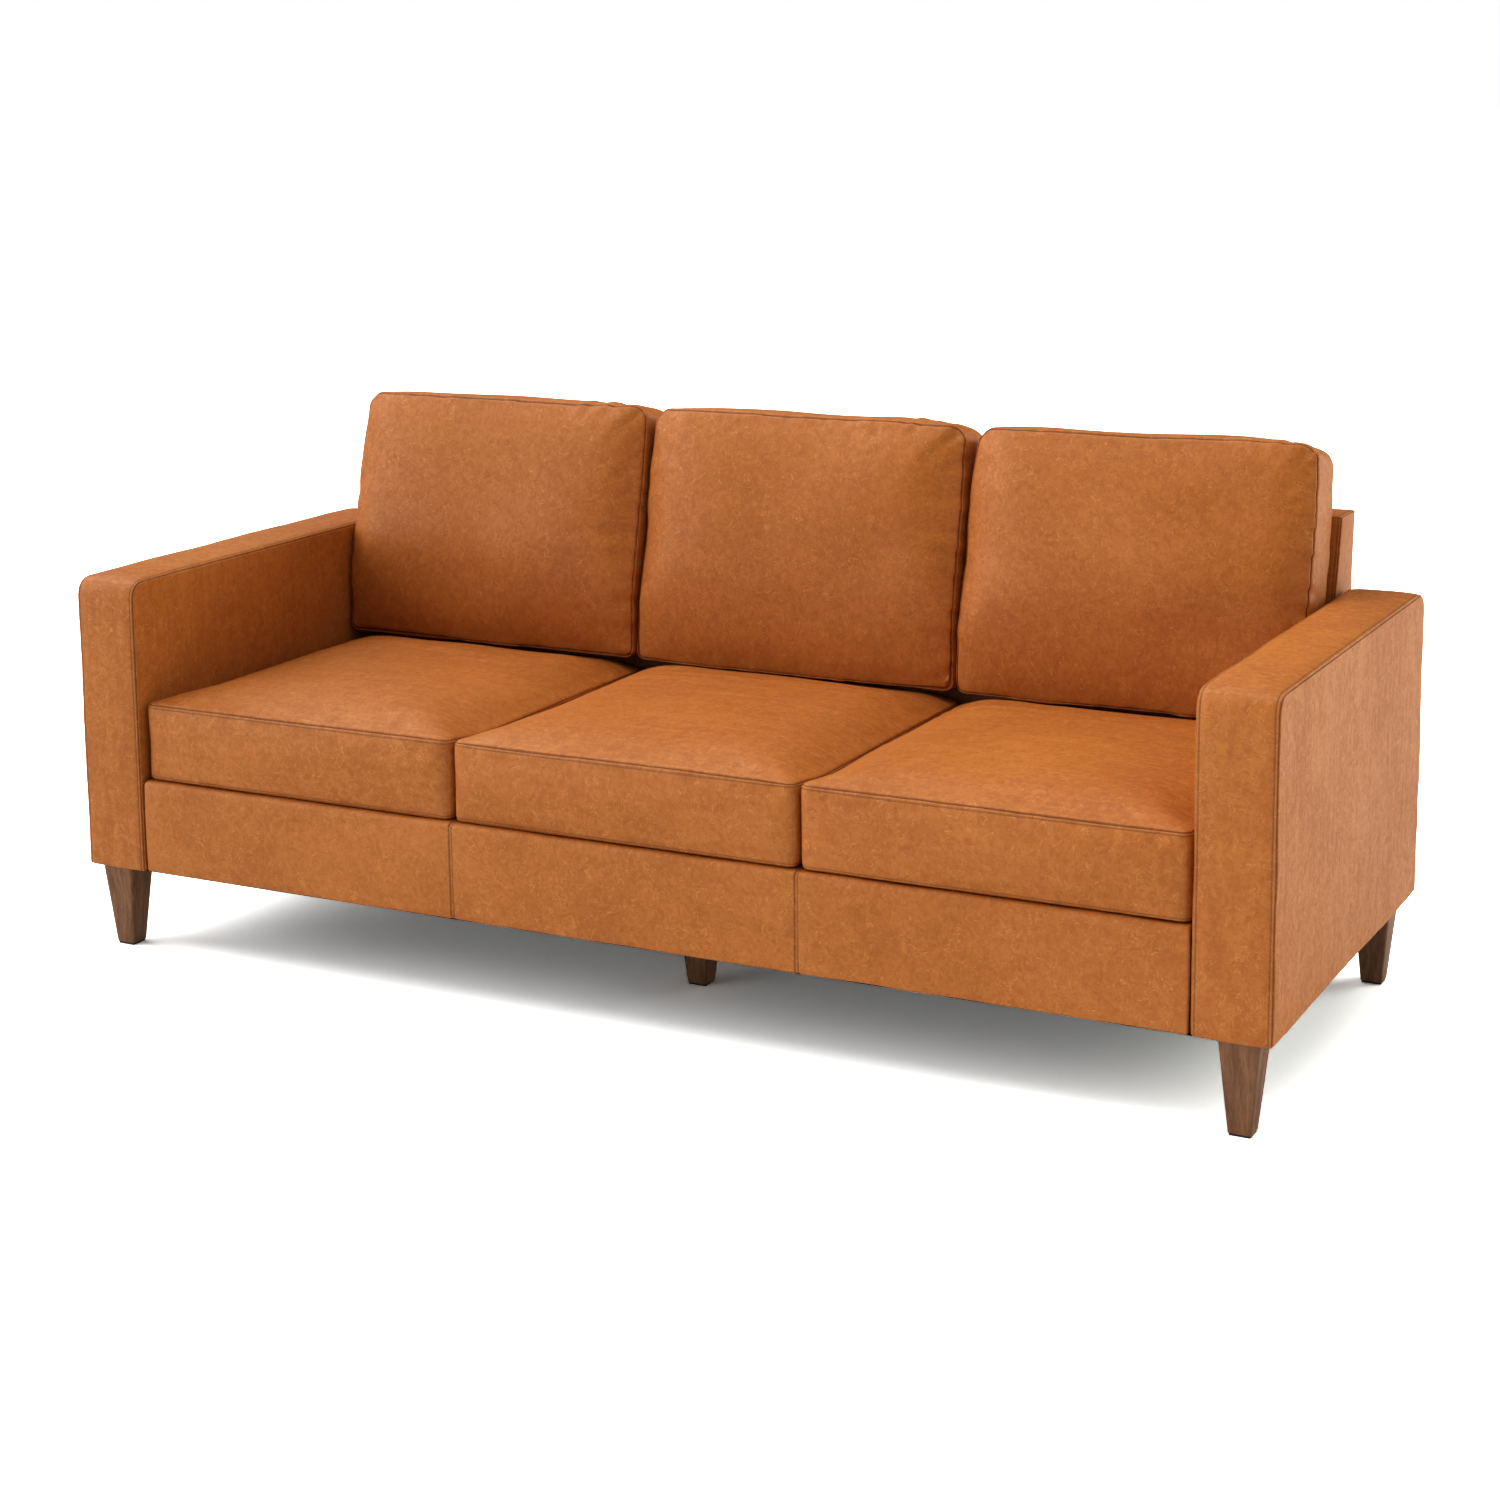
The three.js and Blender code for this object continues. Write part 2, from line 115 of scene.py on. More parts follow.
# ---------------------------------------------------------------- light and view
SKY = 0.06
SUNS = (  # name, strength, softness, direction round the sofa, height, colour
    ("left_sun", 1.75, 55, -90, 45, (1, 1, 1)),
    ("front_left_sun", 1.92, 55, -52, 15, (1, 1, 1)),
    ("overhead_sun", 1.22, 60, 0, 87, (1, 1, 1)),
    ("right_rear_sun", 2.25, 50, 133, 16, (0.98, 1.0, 0.95)),
    ("left_rear_sun", 0.45, 60, -135, 48, (1, 1, 1)),
    ("right_front_sun", 0.40, 55, 62, 24, (1, 1, 1)),
)
FLOOR_REACH = 60.0
CAMERA_PLACE = (2.0596, -3.9843, 1.5077)
CAMERA_TURN = math.radians(27.091)
CAMERA_DIP = math.radians(9.587)
CAMERA_ROLL = math.radians(-0.504)
CAMERA_LENS = 66.47
CAMERA_RISE = -0.1549
CONTRAST_GAMMA = 0.85


# ---------------------------------------------------------------- grids
def graded(low, high, step, seams=(), reach=5):
    """Places from low to high at most a step apart, closer together at each seam."""
    wanted = {low, high}
    for seam in seams:
        for count in range(-reach, reach + 1):
            place = seam + count * SEAM_STEP
            if low < place < high:
                wanted.add(place)
    places = [low]
    for place in sorted(wanted)[1:]:
        gap = place - places[-1]
        if gap < SEAM_STEP / 2 and place != high:
            continue
        count = math.ceil(gap / step - 1e-9)
        start = places[-1]
        places.extend(start + gap * (number + 1) / count for number in range(count))
    return np.array(places)


class BoxGrid:
    """The skin of a box, cut by places along each of its three axes."""

    def __init__(self, *lines):
        self.lines = [np.asarray(places, float) for places in lines]
        counts = [len(places) for places in self.lines]
        on_skin = np.ones(counts, bool)
        on_skin[1:-1, 1:-1, 1:-1] = False
        self.index = np.full(counts, -1)
        self.index[on_skin] = np.arange(on_skin.sum())
        where = np.argwhere(on_skin)
        self.places = np.stack([self.lines[k][where[:, k]] for k in range(3)], axis=1)
        sides = [self.side(axis, end) for axis in range(3) for end in (0, -1)]
        self.faces = np.concatenate(sides)

    def side(self, axis, end):
        """The four-cornered faces of one side, facing outwards."""
        sheet = self.index.take(end, axis)
        faces = sheet_faces(sheet)
        return faces[:, ::-1] if (end == 0) != (axis == 1) else faces

    def ring(self, place):
        """The points in order round the band, at the line across it nearest to a place."""
        layer = self.index[:, :, np.abs(self.lines[2] - place).argmin()]
        return np.concatenate([layer[:-1, 0], layer[-1, :-1], layer[:0:-1, -1], layer[0, :0:-1]])


def sheet_faces(index):
    """Four-cornered faces between the neighbours in a two-way table of point numbers."""
    corners = [index[:-1, :-1], index[1:, :-1], index[1:, 1:], index[:-1, 1:]]
    return np.stack([corner.ravel() for corner in corners], axis=1)


def smooth_weights(source, target):
    """Weights that carry values from even places to others along one line, as a smooth curve."""
    step = (source[-1] - source[0]) / (len(source) - 1)
    along = np.clip((np.asarray(target) - source[0]) / step, 0, len(source) - 1)
    first = np.minimum(along.astype(int), len(source) - 2)
    t = along - first
    blend = [
        (-t + 2 * t**2 - t**3) / 2,
        (2 - 5 * t**2 + 3 * t**3) / 2,
        (t + 4 * t**2 - 3 * t**3) / 2,
        (t**3 - t**2) / 2,
    ]
    weights = np.zeros((len(along), len(source)))
    rows = np.arange(len(along))
    for offset, amount in zip((-1, 0, 1, 2), blend):
        np.add.at(weights, (rows, np.clip(first + offset, 0, len(source) - 1)), amount)
    return weights


def carried(values, coarse, fine):
    """Values at a coarse grid's points, carried smoothly to a finer grid on the same box."""
    found = np.zeros((len(fine.places), values.shape[1]))
    for axis in range(3):
        across = [k for k in range(3) if k != axis]
        first, second = [smooth_weights(coarse.lines[k], fine.lines[k]) for k in across]
        for end in (0, -1):
            patch = values[coarse.index.take(end, axis)]
            finer = np.einsum("in,jm,nmk->ijk", first, second, patch, optimize=True)
            found[fine.index.take(end, axis)] = finer
    return found


def even_grid(fine, cells):
    """A coarse grid on the same box, with cells of about the given sizes."""
    lines = []
    for places, cell in zip(fine.lines, cells):
        count = max(2, round((places[-1] - places[0]) / cell)) + 1
        lines.append(np.linspace(places[0], places[-1], count))
    return BoxGrid(*lines)


def soft_noise(fine, cells, seed):
    """A smooth random value at each point of a grid; its bumps are about as big as the cells."""
    coarse = even_grid(fine, cells)
    values = np.random.default_rng(seed).standard_normal((len(coarse.places), 1))
    return carried(values, coarse, fine)[:, 0]


def outward(points, faces):
    """The direction that points out of a surface at each of its points."""
    corners = points[faces]
    across = np.cross(corners[:, 2] - corners[:, 0], corners[:, 3] - corners[:, 1])
    found = np.zeros_like(points)
    for corner in range(4):
        np.add.at(found, faces[:, corner], across)
    return found / np.maximum(np.linalg.norm(found, axis=1, keepdims=True), 1e-12)


def notch(distance, half_width):
    """1 on a line, falling smoothly to 0 beside it."""
    return np.exp(-((distance / half_width) ** 2))


def risen(distance, reach):
    """0 at an edge, rising towards 1 further in."""
    return 1 - np.exp(-distance / reach)


def lower_of(first, second, blend):
    """The smaller of two values, with a soft change from one to the other."""
    middle = np.minimum(first, second)
    return middle - blend * np.log(np.exp((middle - first) / blend) + np.exp((middle - second) / blend))


def ramp(values, start, stop):
    """0 at start, 1 at stop, with a smooth rise between."""
    share = np.clip((values - start) / (stop - start), 0, 1)
    return share * share * (3 - 2 * share)


# ---------------------------------------------------------------- boxed forms
class BoxedForm:
    """A cushion-like form: two panels facing along the third axis, joined by a band.

    half gives its half sizes; corners are the outline's corner radii below and above;
    roll is the small radius at the seam between a panel and the band.
    """

    def __init__(self, half, corners, roll, step, seams=((), (), ())):
        self.half = np.array(half)
        self.corners = corners
        self.roll = roll
        lines = []
        for axis, (size, extra) in enumerate(zip(half, seams)):
            reach = 8 if axis == 2 else 5
            lines.append(graded(-size, size, step, (-size, size, *extra), reach))
        self.grid = BoxGrid(*lines)

    def coarse(self, step):
        """The same form on an even grid, for the cloth to start from."""
        copy = BoxedForm.__new__(BoxedForm)
        copy.half, copy.corners, copy.roll = self.half, self.corners, self.roll
        copy.grid = even_grid(self.grid, (step, step, step))
        return copy

    @property
    def shares(self):
        return self.grid.places / self.half

    def from_band(self):
        """How far in from the band a point of a panel lies; 0 on the band."""
        return np.min(self.half[:2] - np.abs(self.grid.places[:, :2]), axis=1)

    def from_panel(self):
        """How far along the band a point lies from the nearer panel; 0 on the panels."""
        return self.half[2] - np.abs(self.grid.places[:, 2])

    def rounded(self):
        """The box with its seams rolled over and its outline corners rounded."""
        places = self.grid.places
        inwards, along = self.from_band(), self.from_panel()
        radius = self.roll
        over = np.stack([np.maximum(radius - inwards, 0), np.maximum(radius - along, 0)])
        length = np.maximum(np.hypot(*over), 1e-12)
        near = (over > 0).all(axis=0)
        shift_in = np.where(near, radius * (1 - over[0] / length) - inwards, 0)
        shift_down = np.where(near, radius * (1 - over[1] / length) - along, 0)

        corner = np.where(places[:, 1] > 0, self.corners[1], self.corners[0])[:, None]
        core = np.clip(places[:, :2], corner - self.half[:2], self.half[:2] - corner)
        away = places[:, :2] - core
        reach = np.maximum(np.linalg.norm(away, axis=1, keepdims=True), 1e-12)
        widest = np.abs(away).max(axis=1, keepdims=True)
        outline = core + away * widest / reach - (away / reach) * shift_in[:, None]
        height = places[:, 2] - np.sign(places[:, 2]) * shift_down
        self.sideways = np.where(widest > 1e-9, away / reach, 0)
        return np.column_stack([outline, height])

    def groove(self):
        """Depth of the seam and of the stitched row beside it, at each point; the same values set the
        painted shade there.
        """
        inwards, along = self.from_band(), self.from_panel()
        seam = notch(inwards + along, SEAM_HALF_WIDTH)
        beside = notch(along - TOPSTITCH_INSET, TOPSTITCH_HALF_WIDTH)
        beside = np.where(inwards < 1e-9, beside, 0)
        return seam, beside


def placed(points, axes, origin):
    """Points given along three axes, in the sofa's frame."""
    return points @ np.array(axes, float) + np.array(origin, float)


def in_scene(name, data):
    thing = bpy.data.objects.new(name, data)
    bpy.context.scene.collection.objects.link(thing)
    return thing


def add_piece(name, points, faces, material, body, marks=None):
    """A smooth mesh riding on a body; marks are named values at its points."""
    mesh = bpy.data.meshes.new(name)
    mesh.from_pydata(points.tolist(), [], faces if isinstance(faces, list) else faces.tolist())
    mesh.polygons.foreach_set("use_smooth", [True] * len(mesh.polygons))
    for label, values in (marks or {}).items():
        vector = values.ndim == 2
        mark = mesh.attributes.new(label, "FLOAT_VECTOR" if vector else "FLOAT", "POINT")
        mark.data.foreach_set("vector" if vector else "value", values.ravel().astype(np.float32))
    mesh.materials.append(material)
    mesh.update()
    piece = in_scene(name, mesh)
    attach(piece, body)
    return piece


def add_thickness(piece, thickness):
    shell = piece.modifiers.new("thickness", "SOLIDIFY")
    shell.thickness = thickness
    shell.offset = -1


def used_only(points, faces, *values):
    """Drops the points that no face uses, with their values."""
    used = np.unique(faces)
    order = np.full(len(points), -1)
    order[used] = np.arange(len(used))
    return points[used], order[faces], *[value[used] for value in values]


# ---------------------------------------------------------------- cloth
CLOTH_FRAMES = 20
CLOTH_PRESSURE = 4.0
CLOTH_STEP = 0.015
CLOTH_LIMIT = 0.013         # the filled shape swells by at most this much


def blown_up(form, start, held):
    """How each point of a cover moves when it is filled: cloth under pressure, held where it rests."""
    mesh = bpy.data.meshes.new("cover_cloth")
    mesh.from_pydata(start.tolist(), [], form.grid.faces.tolist())
    cloth = in_scene("cover_cloth", mesh)
    group = cloth.vertex_groups.new(name="held")
    for number, weight in enumerate(held):
        if weight > 0:
            group.add([number], float(weight), "REPLACE")
    modifier = cloth.modifiers.new("cloth", "CLOTH")
    settings = modifier.settings
    settings.quality = 6
    settings.mass = 0.35
    settings.tension_stiffness = 40
    settings.compression_stiffness = 40
    settings.shear_stiffness = 18
    settings.bending_stiffness = 1.5
    settings.use_pressure = True
    settings.uniform_pressure_force = CLOTH_PRESSURE
    settings.vertex_group_mass = "held"
    settings.pin_stiffness = 1.0
    settings.effector_weights.gravity = 0
    modifier.point_cache.frame_start = 1
    modifier.point_cache.frame_end = CLOTH_FRAMES
    for number in range(1, CLOTH_FRAMES + 1):
        bpy.context.scene.frame_set(number)
    evaluated = cloth.evaluated_get(bpy.context.evaluated_depsgraph_get())
    moved = np.empty(len(start) * 3)
    evaluated.data.vertices.foreach_get("co", moved)
    bpy.context.scene.frame_set(1)
    bpy.data.objects.remove(cloth)
    bpy.data.meshes.remove(mesh)
    shift = moved.reshape(-1, 3) - start
    length = np.linalg.norm(shift, axis=1, keepdims=True)
    return shift * CLOTH_LIMIT * np.tanh(length / CLOTH_LIMIT) / np.maximum(length, 1e-9)


# ---------------------------------------------------------------- stitches
def stitch_shape(length, radius):
    """One stitch, lying along the first axis: two rings and two tips."""
    turns = np.arange(6) * math.tau / 6
    ring = np.column_stack([np.zeros(6), np.cos(turns), np.sin(turns)]) * radius
    left, right = ring.copy(), ring.copy()
    left[:, 0], right[:, 0] = -length * 0.34, length * 0.34
    tips = np.array([[-length / 2, 0, -radius * 0.6], [length / 2, 0, -radius * 0.6]])
    points = np.concatenate([left, right, tips])
    faces = []
    for corner in range(6):
        following = (corner + 1) % 6
        faces.append((corner, following, 6 + following, 6 + corner))
        faces.append((following, corner, 12, 12))
        faces.append((6 + corner, 6 + following, 13, 13))
    return points, np.array(faces)


def stitch_row(path, normals, closed, pitch):
    """Places and directions of stitches spaced evenly along a path."""
    if closed:
        path = np.concatenate([path, path[:1]])
        normals = np.concatenate([normals, normals[:1]])
    along = np.concatenate([[0], np.cumsum(np.linalg.norm(np.diff(path, axis=0), axis=1))])
    count = max(2, int(along[-1] / pitch))
    at = (np.arange(count) + 0.5) * along[-1] / count

    def between(values, shift=0.0):
        here = np.clip(at + shift, 0, along[-1])
        return np.stack([np.interp(here, along, values[:, k]) for k in range(3)], axis=1)

    forward = between(path, pitch / 3) - between(path, -pitch / 3)
    forward /= np.linalg.norm(forward, axis=1, keepdims=True)
    up = between(normals)
    side = np.cross(up, forward)
    side /= np.linalg.norm(side, axis=1, keepdims=True)
    up = np.cross(forward, side)
    return between(path), np.stack([forward, side, up], axis=1)


def add_stitches(name, rows, body, closed=True):
    """Rows of separate thread stitches along paths, half sunk in the leather."""
    points, faces = stitch_shape(STITCH_LENGTH, STITCH_RADIUS)
    all_points, all_faces, offset = [], [], 0
    for path, normals in rows:
        places, frames = stitch_row(path, normals, closed, STITCH_PITCH)
        made = np.einsum("mk,nkj->nmj", points, frames) + places[:, None, :]
        numbers = faces[None] + offset + len(points) * np.arange(len(places))[:, None, None]
        all_points.append(made.reshape(-1, 3))
        all_faces.append(numbers.reshape(-1, 4))
        offset += len(places) * len(points)
    faces = [tuple(dict.fromkeys(face)) for face in np.concatenate(all_faces).tolist()]
    add_piece(name, np.concatenate(all_points), faces, THREAD, body)


# ---------------------------------------------------------------- materials
def feed(tree, socket, value):
    """Sets a socket to a value, or links it to an output."""
    if isinstance(value, bpy.types.NodeSocket):
        tree.links.new(value, socket)
    else:
        socket.default_value = value


def add_node(tree, kind, inputs=None, **settings):
    """A shader node; an input is given as a value or as the output to link to it."""
    node = tree.nodes.new("ShaderNode" + kind)
    for label, value in settings.items():
        setattr(node, label, value)
    for label, value in (inputs or {}).items():
        feed(tree, node.inputs[label], value)
    return node


def new_group(name, inputs, outputs):
    """An empty node group: inputs are {name: (kind, value)}, outputs are {name: kind}."""
    tree = bpy.data.node_groups.new(name, "ShaderNodeTree")
    for label, (kind, value) in inputs.items():
        socket = tree.interface.new_socket(label, in_out="INPUT", socket_type="NodeSocket" + kind)
        if value is not None:
            socket.default_value = value
    for label, kind in outputs.items():
        tree.interface.new_socket(label, in_out="OUTPUT", socket_type="NodeSocket" + kind)
    return tree, tree.nodes.new("NodeGroupInput").outputs, tree.nodes.new("NodeGroupOutput").inputs


def noise(tree, vector, scale, detail=4.0, roughness=0.5, distortion=0.0):
    inputs = {
        "Vector": vector,
        "Scale": scale,
        "Detail": detail,
        "Roughness": roughness,
        "Distortion": distortion,
    }
    return add_node(tree, "TexNoise", inputs).outputs["Fac"]


def math_node(tree, operation, first, second=0.0):
    node = add_node(tree, "Math", operation=operation)
    for socket, value in zip(node.inputs, (first, second)):
        feed(tree, socket, value)
    return node.outputs[0]


def weighted(tree, *parts):
    """The sum of values, each multiplied by its weight."""
    products = [math_node(tree, "MULTIPLY", value, weight) for value, weight in parts]
    total = products[0]
    for product in products[1:]:
        total = math_node(tree, "ADD", total, product)
    return total


def between(tree, value, low, high, to_low=0.0, to_high=1.0):
    """A value stretched from one range to another and kept inside it."""
    inputs = {
        "Value": value,
        "From Min": low,
        "From Max": high,
        "To Min": to_low,
        "To Max": to_high,
    }
    return add_node(tree, "MapRange", inputs, interpolation_type="SMOOTHSTEP").outputs["Result"]


def stretched(tree, vector, scale):
    return add_node(tree, "Mapping", {"Vector": vector, "Scale": scale}).outputs["Vector"]


def blended(tree, amount, first, second):
    """Two colours mixed by an amount."""
    node = add_node(tree, "Mix", data_type="RGBA")
    sockets = (node.inputs[0], node.inputs[6], node.inputs[7])
    for socket, value in zip(sockets, (amount, first, second)):
        feed(tree, socket, value)
    return node.outputs[2]


def colour_ramp(tree, value, stops):
    node = add_node(tree, "ValToRGB", {"Fac": value})
    ramp_stops = node.color_ramp.elements
    while len(ramp_stops) < len(stops):
        ramp_stops.new(0.5)
    for element, (place, colour) in zip(ramp_stops, stops):
        element.position = place
        element.color = (*colour, 1)
    return node.outputs["Color"]


def hide_group():
    """Aniline hide: cloudy tone, marbling, light fibre marks and fine grain."""
    tree, given, result = new_group(
        "aniline_hide",
        {"Place": ("Vector", None), "Streak": ("Float", 0.0)},
        {"Tone": "Float", "Fibres": "Float", "Height": "Float"},
    )
    place = given["Place"]
    clouds = noise(tree, place, 4.5, 3.0, 0.5, 0.6)
    marbling = noise(tree, place, 46.0, 8.0, 0.66, 1.5)
    speckle = noise(tree, place, 115.0, 6.0, 0.66, 1.0)
    streaks = noise(tree, stretched(tree, place, (130.0, 9.0, 60.0)), 1.0, 4.0, 0.6, 0.4)
    tone = weighted(tree, (clouds, 0.24), (marbling, 0.42), (speckle, 0.34))
    streaky = math_node(tree, "MULTIPLY", math_node(tree, "SUBTRACT", streaks, 0.5), given["Streak"])
    tone = math_node(tree, "ADD", tone, streaky)
    tree.links.new(between(tree, tone, 0.36, 0.65), result["Tone"])

    wander = noise(tree, place, 34.0, 3.0, 0.55, 2.0)
    line = math_node(tree, "ABSOLUTE", math_node(tree, "SUBTRACT", wander, 0.5))
    line = between(tree, line, 0.0, 0.020, 1.0, 0.0)
    patches = between(tree, noise(tree, place, 50.0, 2.0, 0.5, 0.0), 0.46, 0.58)
    tree.links.new(math_node(tree, "MULTIPLY", line, patches), result["Fibres"])

    pebbles = add_node(
        tree,
        "TexVoronoi",
        {"Vector": place, "Scale": 620.0, "Randomness": 1.0},
        feature="SMOOTH_F1",
    ).outputs["Distance"]
    creases = noise(tree, place, 240.0, 4.0, 0.6, 0.8)
    height = weighted(tree, (pebbles, 0.35), (creases, 0.40), (speckle, 0.65))
    tree.links.new(height, result["Height"])
    return tree


def grain_group():
    """Wood grain along one axis: growth rings stretched lengthwise, with fine pores."""
    tree, given, result = new_group(
        "wood_grain",
        {"Place": ("Vector", None), "Rings": ("Float", 60.0)},
        {"Figure": "Float", "Pores": "Float"},
    )
    place = given["Place"]
    bent = noise(tree, place, 7.0, 2.0, 0.5, 0.0)
    moved = add_node(tree, "VectorMath", {0: place}, operation="ADD")
    shift = add_node(tree, "CombineXYZ", {"X": math_node(tree, "MULTIPLY", bent, 0.035)}).outputs[0]
    tree.links.new(shift, moved.inputs[1])
    lengthwise = stretched(tree, moved.outputs[0], (1.0, 1.0, 0.06))
    rings = noise(tree, lengthwise, given["Rings"], 5.0, 0.62, 0.3)
    fine = noise(tree, stretched(tree, moved.outputs[0], (420.0, 420.0, 14.0)), 1.0, 3.0, 0.6, 0.0)
    figure = weighted(tree, (rings, 0.72), (fine, 0.28))
    tree.links.new(between(tree, figure, 0.33, 0.68), result["Figure"])
    pores = noise(tree, stretched(tree, moved.outputs[0], (900.0, 900.0, 30.0)), 1.0, 2.0, 0.6, 0.0)
    tree.links.new(between(tree, pores, 0.58, 0.68), result["Pores"])
    return tree


def weave_group():
    """Plain weave: two crossing sets of threads, and how far each stands up."""
    tree, given, result = new_group(
        "plain_weave",
        {"Place": ("Vector", None), "Threads": ("Float", 900.0)},
        {"Height": "Float", "Gaps": "Float"},
    )
    waves = []
    for direction in ("X", "Y"):
        inputs = {"Vector": given["Place"], "Scale": given["Threads"], "Distortion": 0.0}
        waves.append(add_node(tree, "TexWave", inputs, bands_direction=direction).outputs["Fac"])
    height = math_node(tree, "MAXIMUM", *waves)
    tree.links.new(height, result["Height"])
    tree.links.new(between(tree, height, 0.25, 0.6, 1.0, 0.0), result["Gaps"])
    return tree


HIDE = hide_group()
GRAIN = grain_group()
WEAVE = weave_group()


def new_material(name):
    material = bpy.data.materials.new(name)
    material.use_nodes = True
    tree = material.node_tree
    shader = tree.nodes["Principled BSDF"]
    return material, tree, shader


def use_group(tree, group, **inputs):
    node = tree.nodes.new("ShaderNodeGroup")
    node.node_tree = group
    for label, value in inputs.items():
        feed(tree, node.inputs[label], value)
    return node.outputs


def mark(tree, label, output):
    return add_node(tree, "Attribute", attribute_name=label).outputs[output]


def own_place(tree):
    return add_node(tree, "TexCoord").outputs["Object"]


def bump(tree, height, distance, strength=1.0):
    inputs = {"Height": height, "Distance": distance, "Strength": strength}
    return add_node(tree, "Bump", inputs).outputs["Normal"]


def tan_leather(name, streak=0.0):
    """Tan aniline leather: light fibre marks on cloudy tone, with painted shade in the seam grooves and
    stitched rows.
    """
    material, tree, shader = new_material(name)
    hide = use_group(tree, HIDE, Place=mark(tree, "hide_place", "Vector"), Streak=streak)
    colour = colour_ramp(
        tree,
        hide["Tone"],
        (
            (0.0, (0.400, 0.128, 0.0200)),
            (0.5, (0.472, 0.161, 0.0280)),
            (1.0, (0.536, 0.196, 0.0390)),
        ),
    )
    fibres = math_node(tree, "MULTIPLY", hide["Fibres"], 0.48)
    colour = blended(tree, fibres, colour, (0.70, 0.330, 0.100, 1))
    # painted shade: the seam mark blends in a dark brown where shade falls in the seam grooves and
    # stitched rows
    seam = mark(tree, "seam", "Fac")
    colour = blended(tree, math_node(tree, "MULTIPLY", seam, 0.68), colour, (0.10, 0.026, 0.006, 1))
    tree.links.new(colour, shader.inputs["Base Color"])
    roughness = between(tree, hide["Tone"], 0.0, 1.0, 0.56, 0.44)
    tree.links.new(roughness, shader.inputs["Roughness"])
    tree.links.new(bump(tree, hide["Height"], 0.00035, 0.7), shader.inputs["Normal"])
    shader.inputs["Specular IOR Level"].default_value = 0.42
    shader.inputs["Specular Tint"].default_value = (1.0, 0.96, 0.90, 1)
    return material


def thread():
    material, tree, shader = new_material("stitch_thread")
    twist = noise(tree, own_place(tree), 900.0, 2.0)
    colour = colour_ramp(tree, twist, ((0.3, (0.20, 0.070, 0.018)), (0.7, (0.34, 0.125, 0.036))))
    tree.links.new(colour, shader.inputs["Base Color"])
    tree.links.new(bump(tree, twist, 0.0002), shader.inputs["Normal"])
    shader.inputs["Roughness"].default_value = 0.7
    return material


def walnut():
    """Walnut stain, satin lacquer."""
    material, tree, shader = new_material("walnut_legs")
    grain = use_group(tree, GRAIN, Place=own_place(tree), Rings=85.0)
    colour = colour_ramp(
        tree,
        grain["Figure"],
        (
            (0.0, (0.150, 0.060, 0.021)),
            (0.45, (0.225, 0.098, 0.038)),
            (1.0, (0.300, 0.142, 0.060)),
        ),
    )
    pores = math_node(tree, "MULTIPLY", grain["Pores"], 0.45)
    colour = blended(tree, pores, colour, (0.055, 0.022, 0.010, 1))
    tree.links.new(colour, shader.inputs["Base Color"])
    tree.links.new(between(tree, grain["Figure"], 0.0, 1.0, 0.52, 0.40), shader.inputs["Roughness"])
    tree.links.new(bump(tree, grain["Figure"], 0.0003, 0.5), shader.inputs["Normal"])
    return material


def frame_timber():
    """Planed softwood of the hidden frame."""
    material, tree, shader = new_material("frame_timber")
    turned = stretched(tree, own_place(tree), (0.08, 1.0, 1.0))
    rings = noise(tree, turned, 70.0, 5.0, 0.6, 0.4)
    knots = noise(tree, own_place(tree), 9.0, 2.0, 0.5, 1.5)
    colour = colour_ramp(
        tree,
        rings,
        ((0.3, (0.50, 0.31, 0.14)), (0.55, (0.63, 0.43, 0.22)), (0.75, (0.72, 0.53, 0.31))),
    )
    knot = between(tree, knots, 0.68, 0.75)
    colour = blended(tree, math_node(tree, "MULTIPLY", knot, 0.6), colour, (0.25, 0.12, 0.05, 1))
    tree.links.new(colour, shader.inputs["Base Color"])
    tree.links.new(bump(tree, rings, 0.0004, 0.5), shader.inputs["Normal"])
    shader.inputs["Roughness"].default_value = 0.72
    return material


def woven(name, dark, light, threads, roughness):
    """A plain woven or bonded cloth."""
    material, tree, shader = new_material(name)
    weave = use_group(tree, WEAVE, Place=own_place(tree), Threads=threads)
    tone = noise(tree, own_place(tree), 60.0, 5.0, 0.6, 0.5)
    colour = colour_ramp(tree, tone, ((0.3, dark), (0.7, light)))
    gaps = math_node(tree, "MULTIPLY", weave["Gaps"], 0.5)
    colour = blended(tree, gaps, colour, (*[value * 0.35 for value in dark], 1))
    tree.links.new(colour, shader.inputs["Base Color"])
    tree.links.new(bump(tree, weave["Height"], 0.0004, 0.7), shader.inputs["Normal"])
    shader.inputs["Roughness"].default_value = roughness
    return material


def steel(name, tint, roughness):
    """Drawn or zinc-plated steel, with faint blotches."""
    material, tree, shader = new_material(name)
    blotches = noise(tree, own_place(tree), 180.0, 4.0, 0.6, 0.6)
    dull = tuple(value * 0.72 for value in tint)
    tree.links.new(colour_ramp(tree, blotches, ((0.3, dull), (0.7, tint))), shader.inputs["Base Color"])
    polish = between(tree, blotches, 0.3, 0.7, roughness + 0.12, roughness)
    tree.links.new(polish, shader.inputs["Roughness"])
    tree.links.new(bump(tree, blotches, 0.0001, 0.4), shader.inputs["Normal"])
    shader.inputs["Metallic"].default_value = 1
    return material


def glide_plastic():
    material, tree, shader = new_material("glide_plastic")
    texture = noise(tree, own_place(tree), 900.0, 3.0, 0.6, 0.0)
    colour = colour_ramp(tree, texture, ((0.3, (0.012, 0.010, 0.009)), (0.7, (0.030, 0.026, 0.023))))
    tree.links.new(colour, shader.inputs["Base Color"])
    tree.links.new(bump(tree, texture, 0.0001, 0.6), shader.inputs["Normal"])
    shader.inputs["Roughness"].default_value = 0.55
    return material


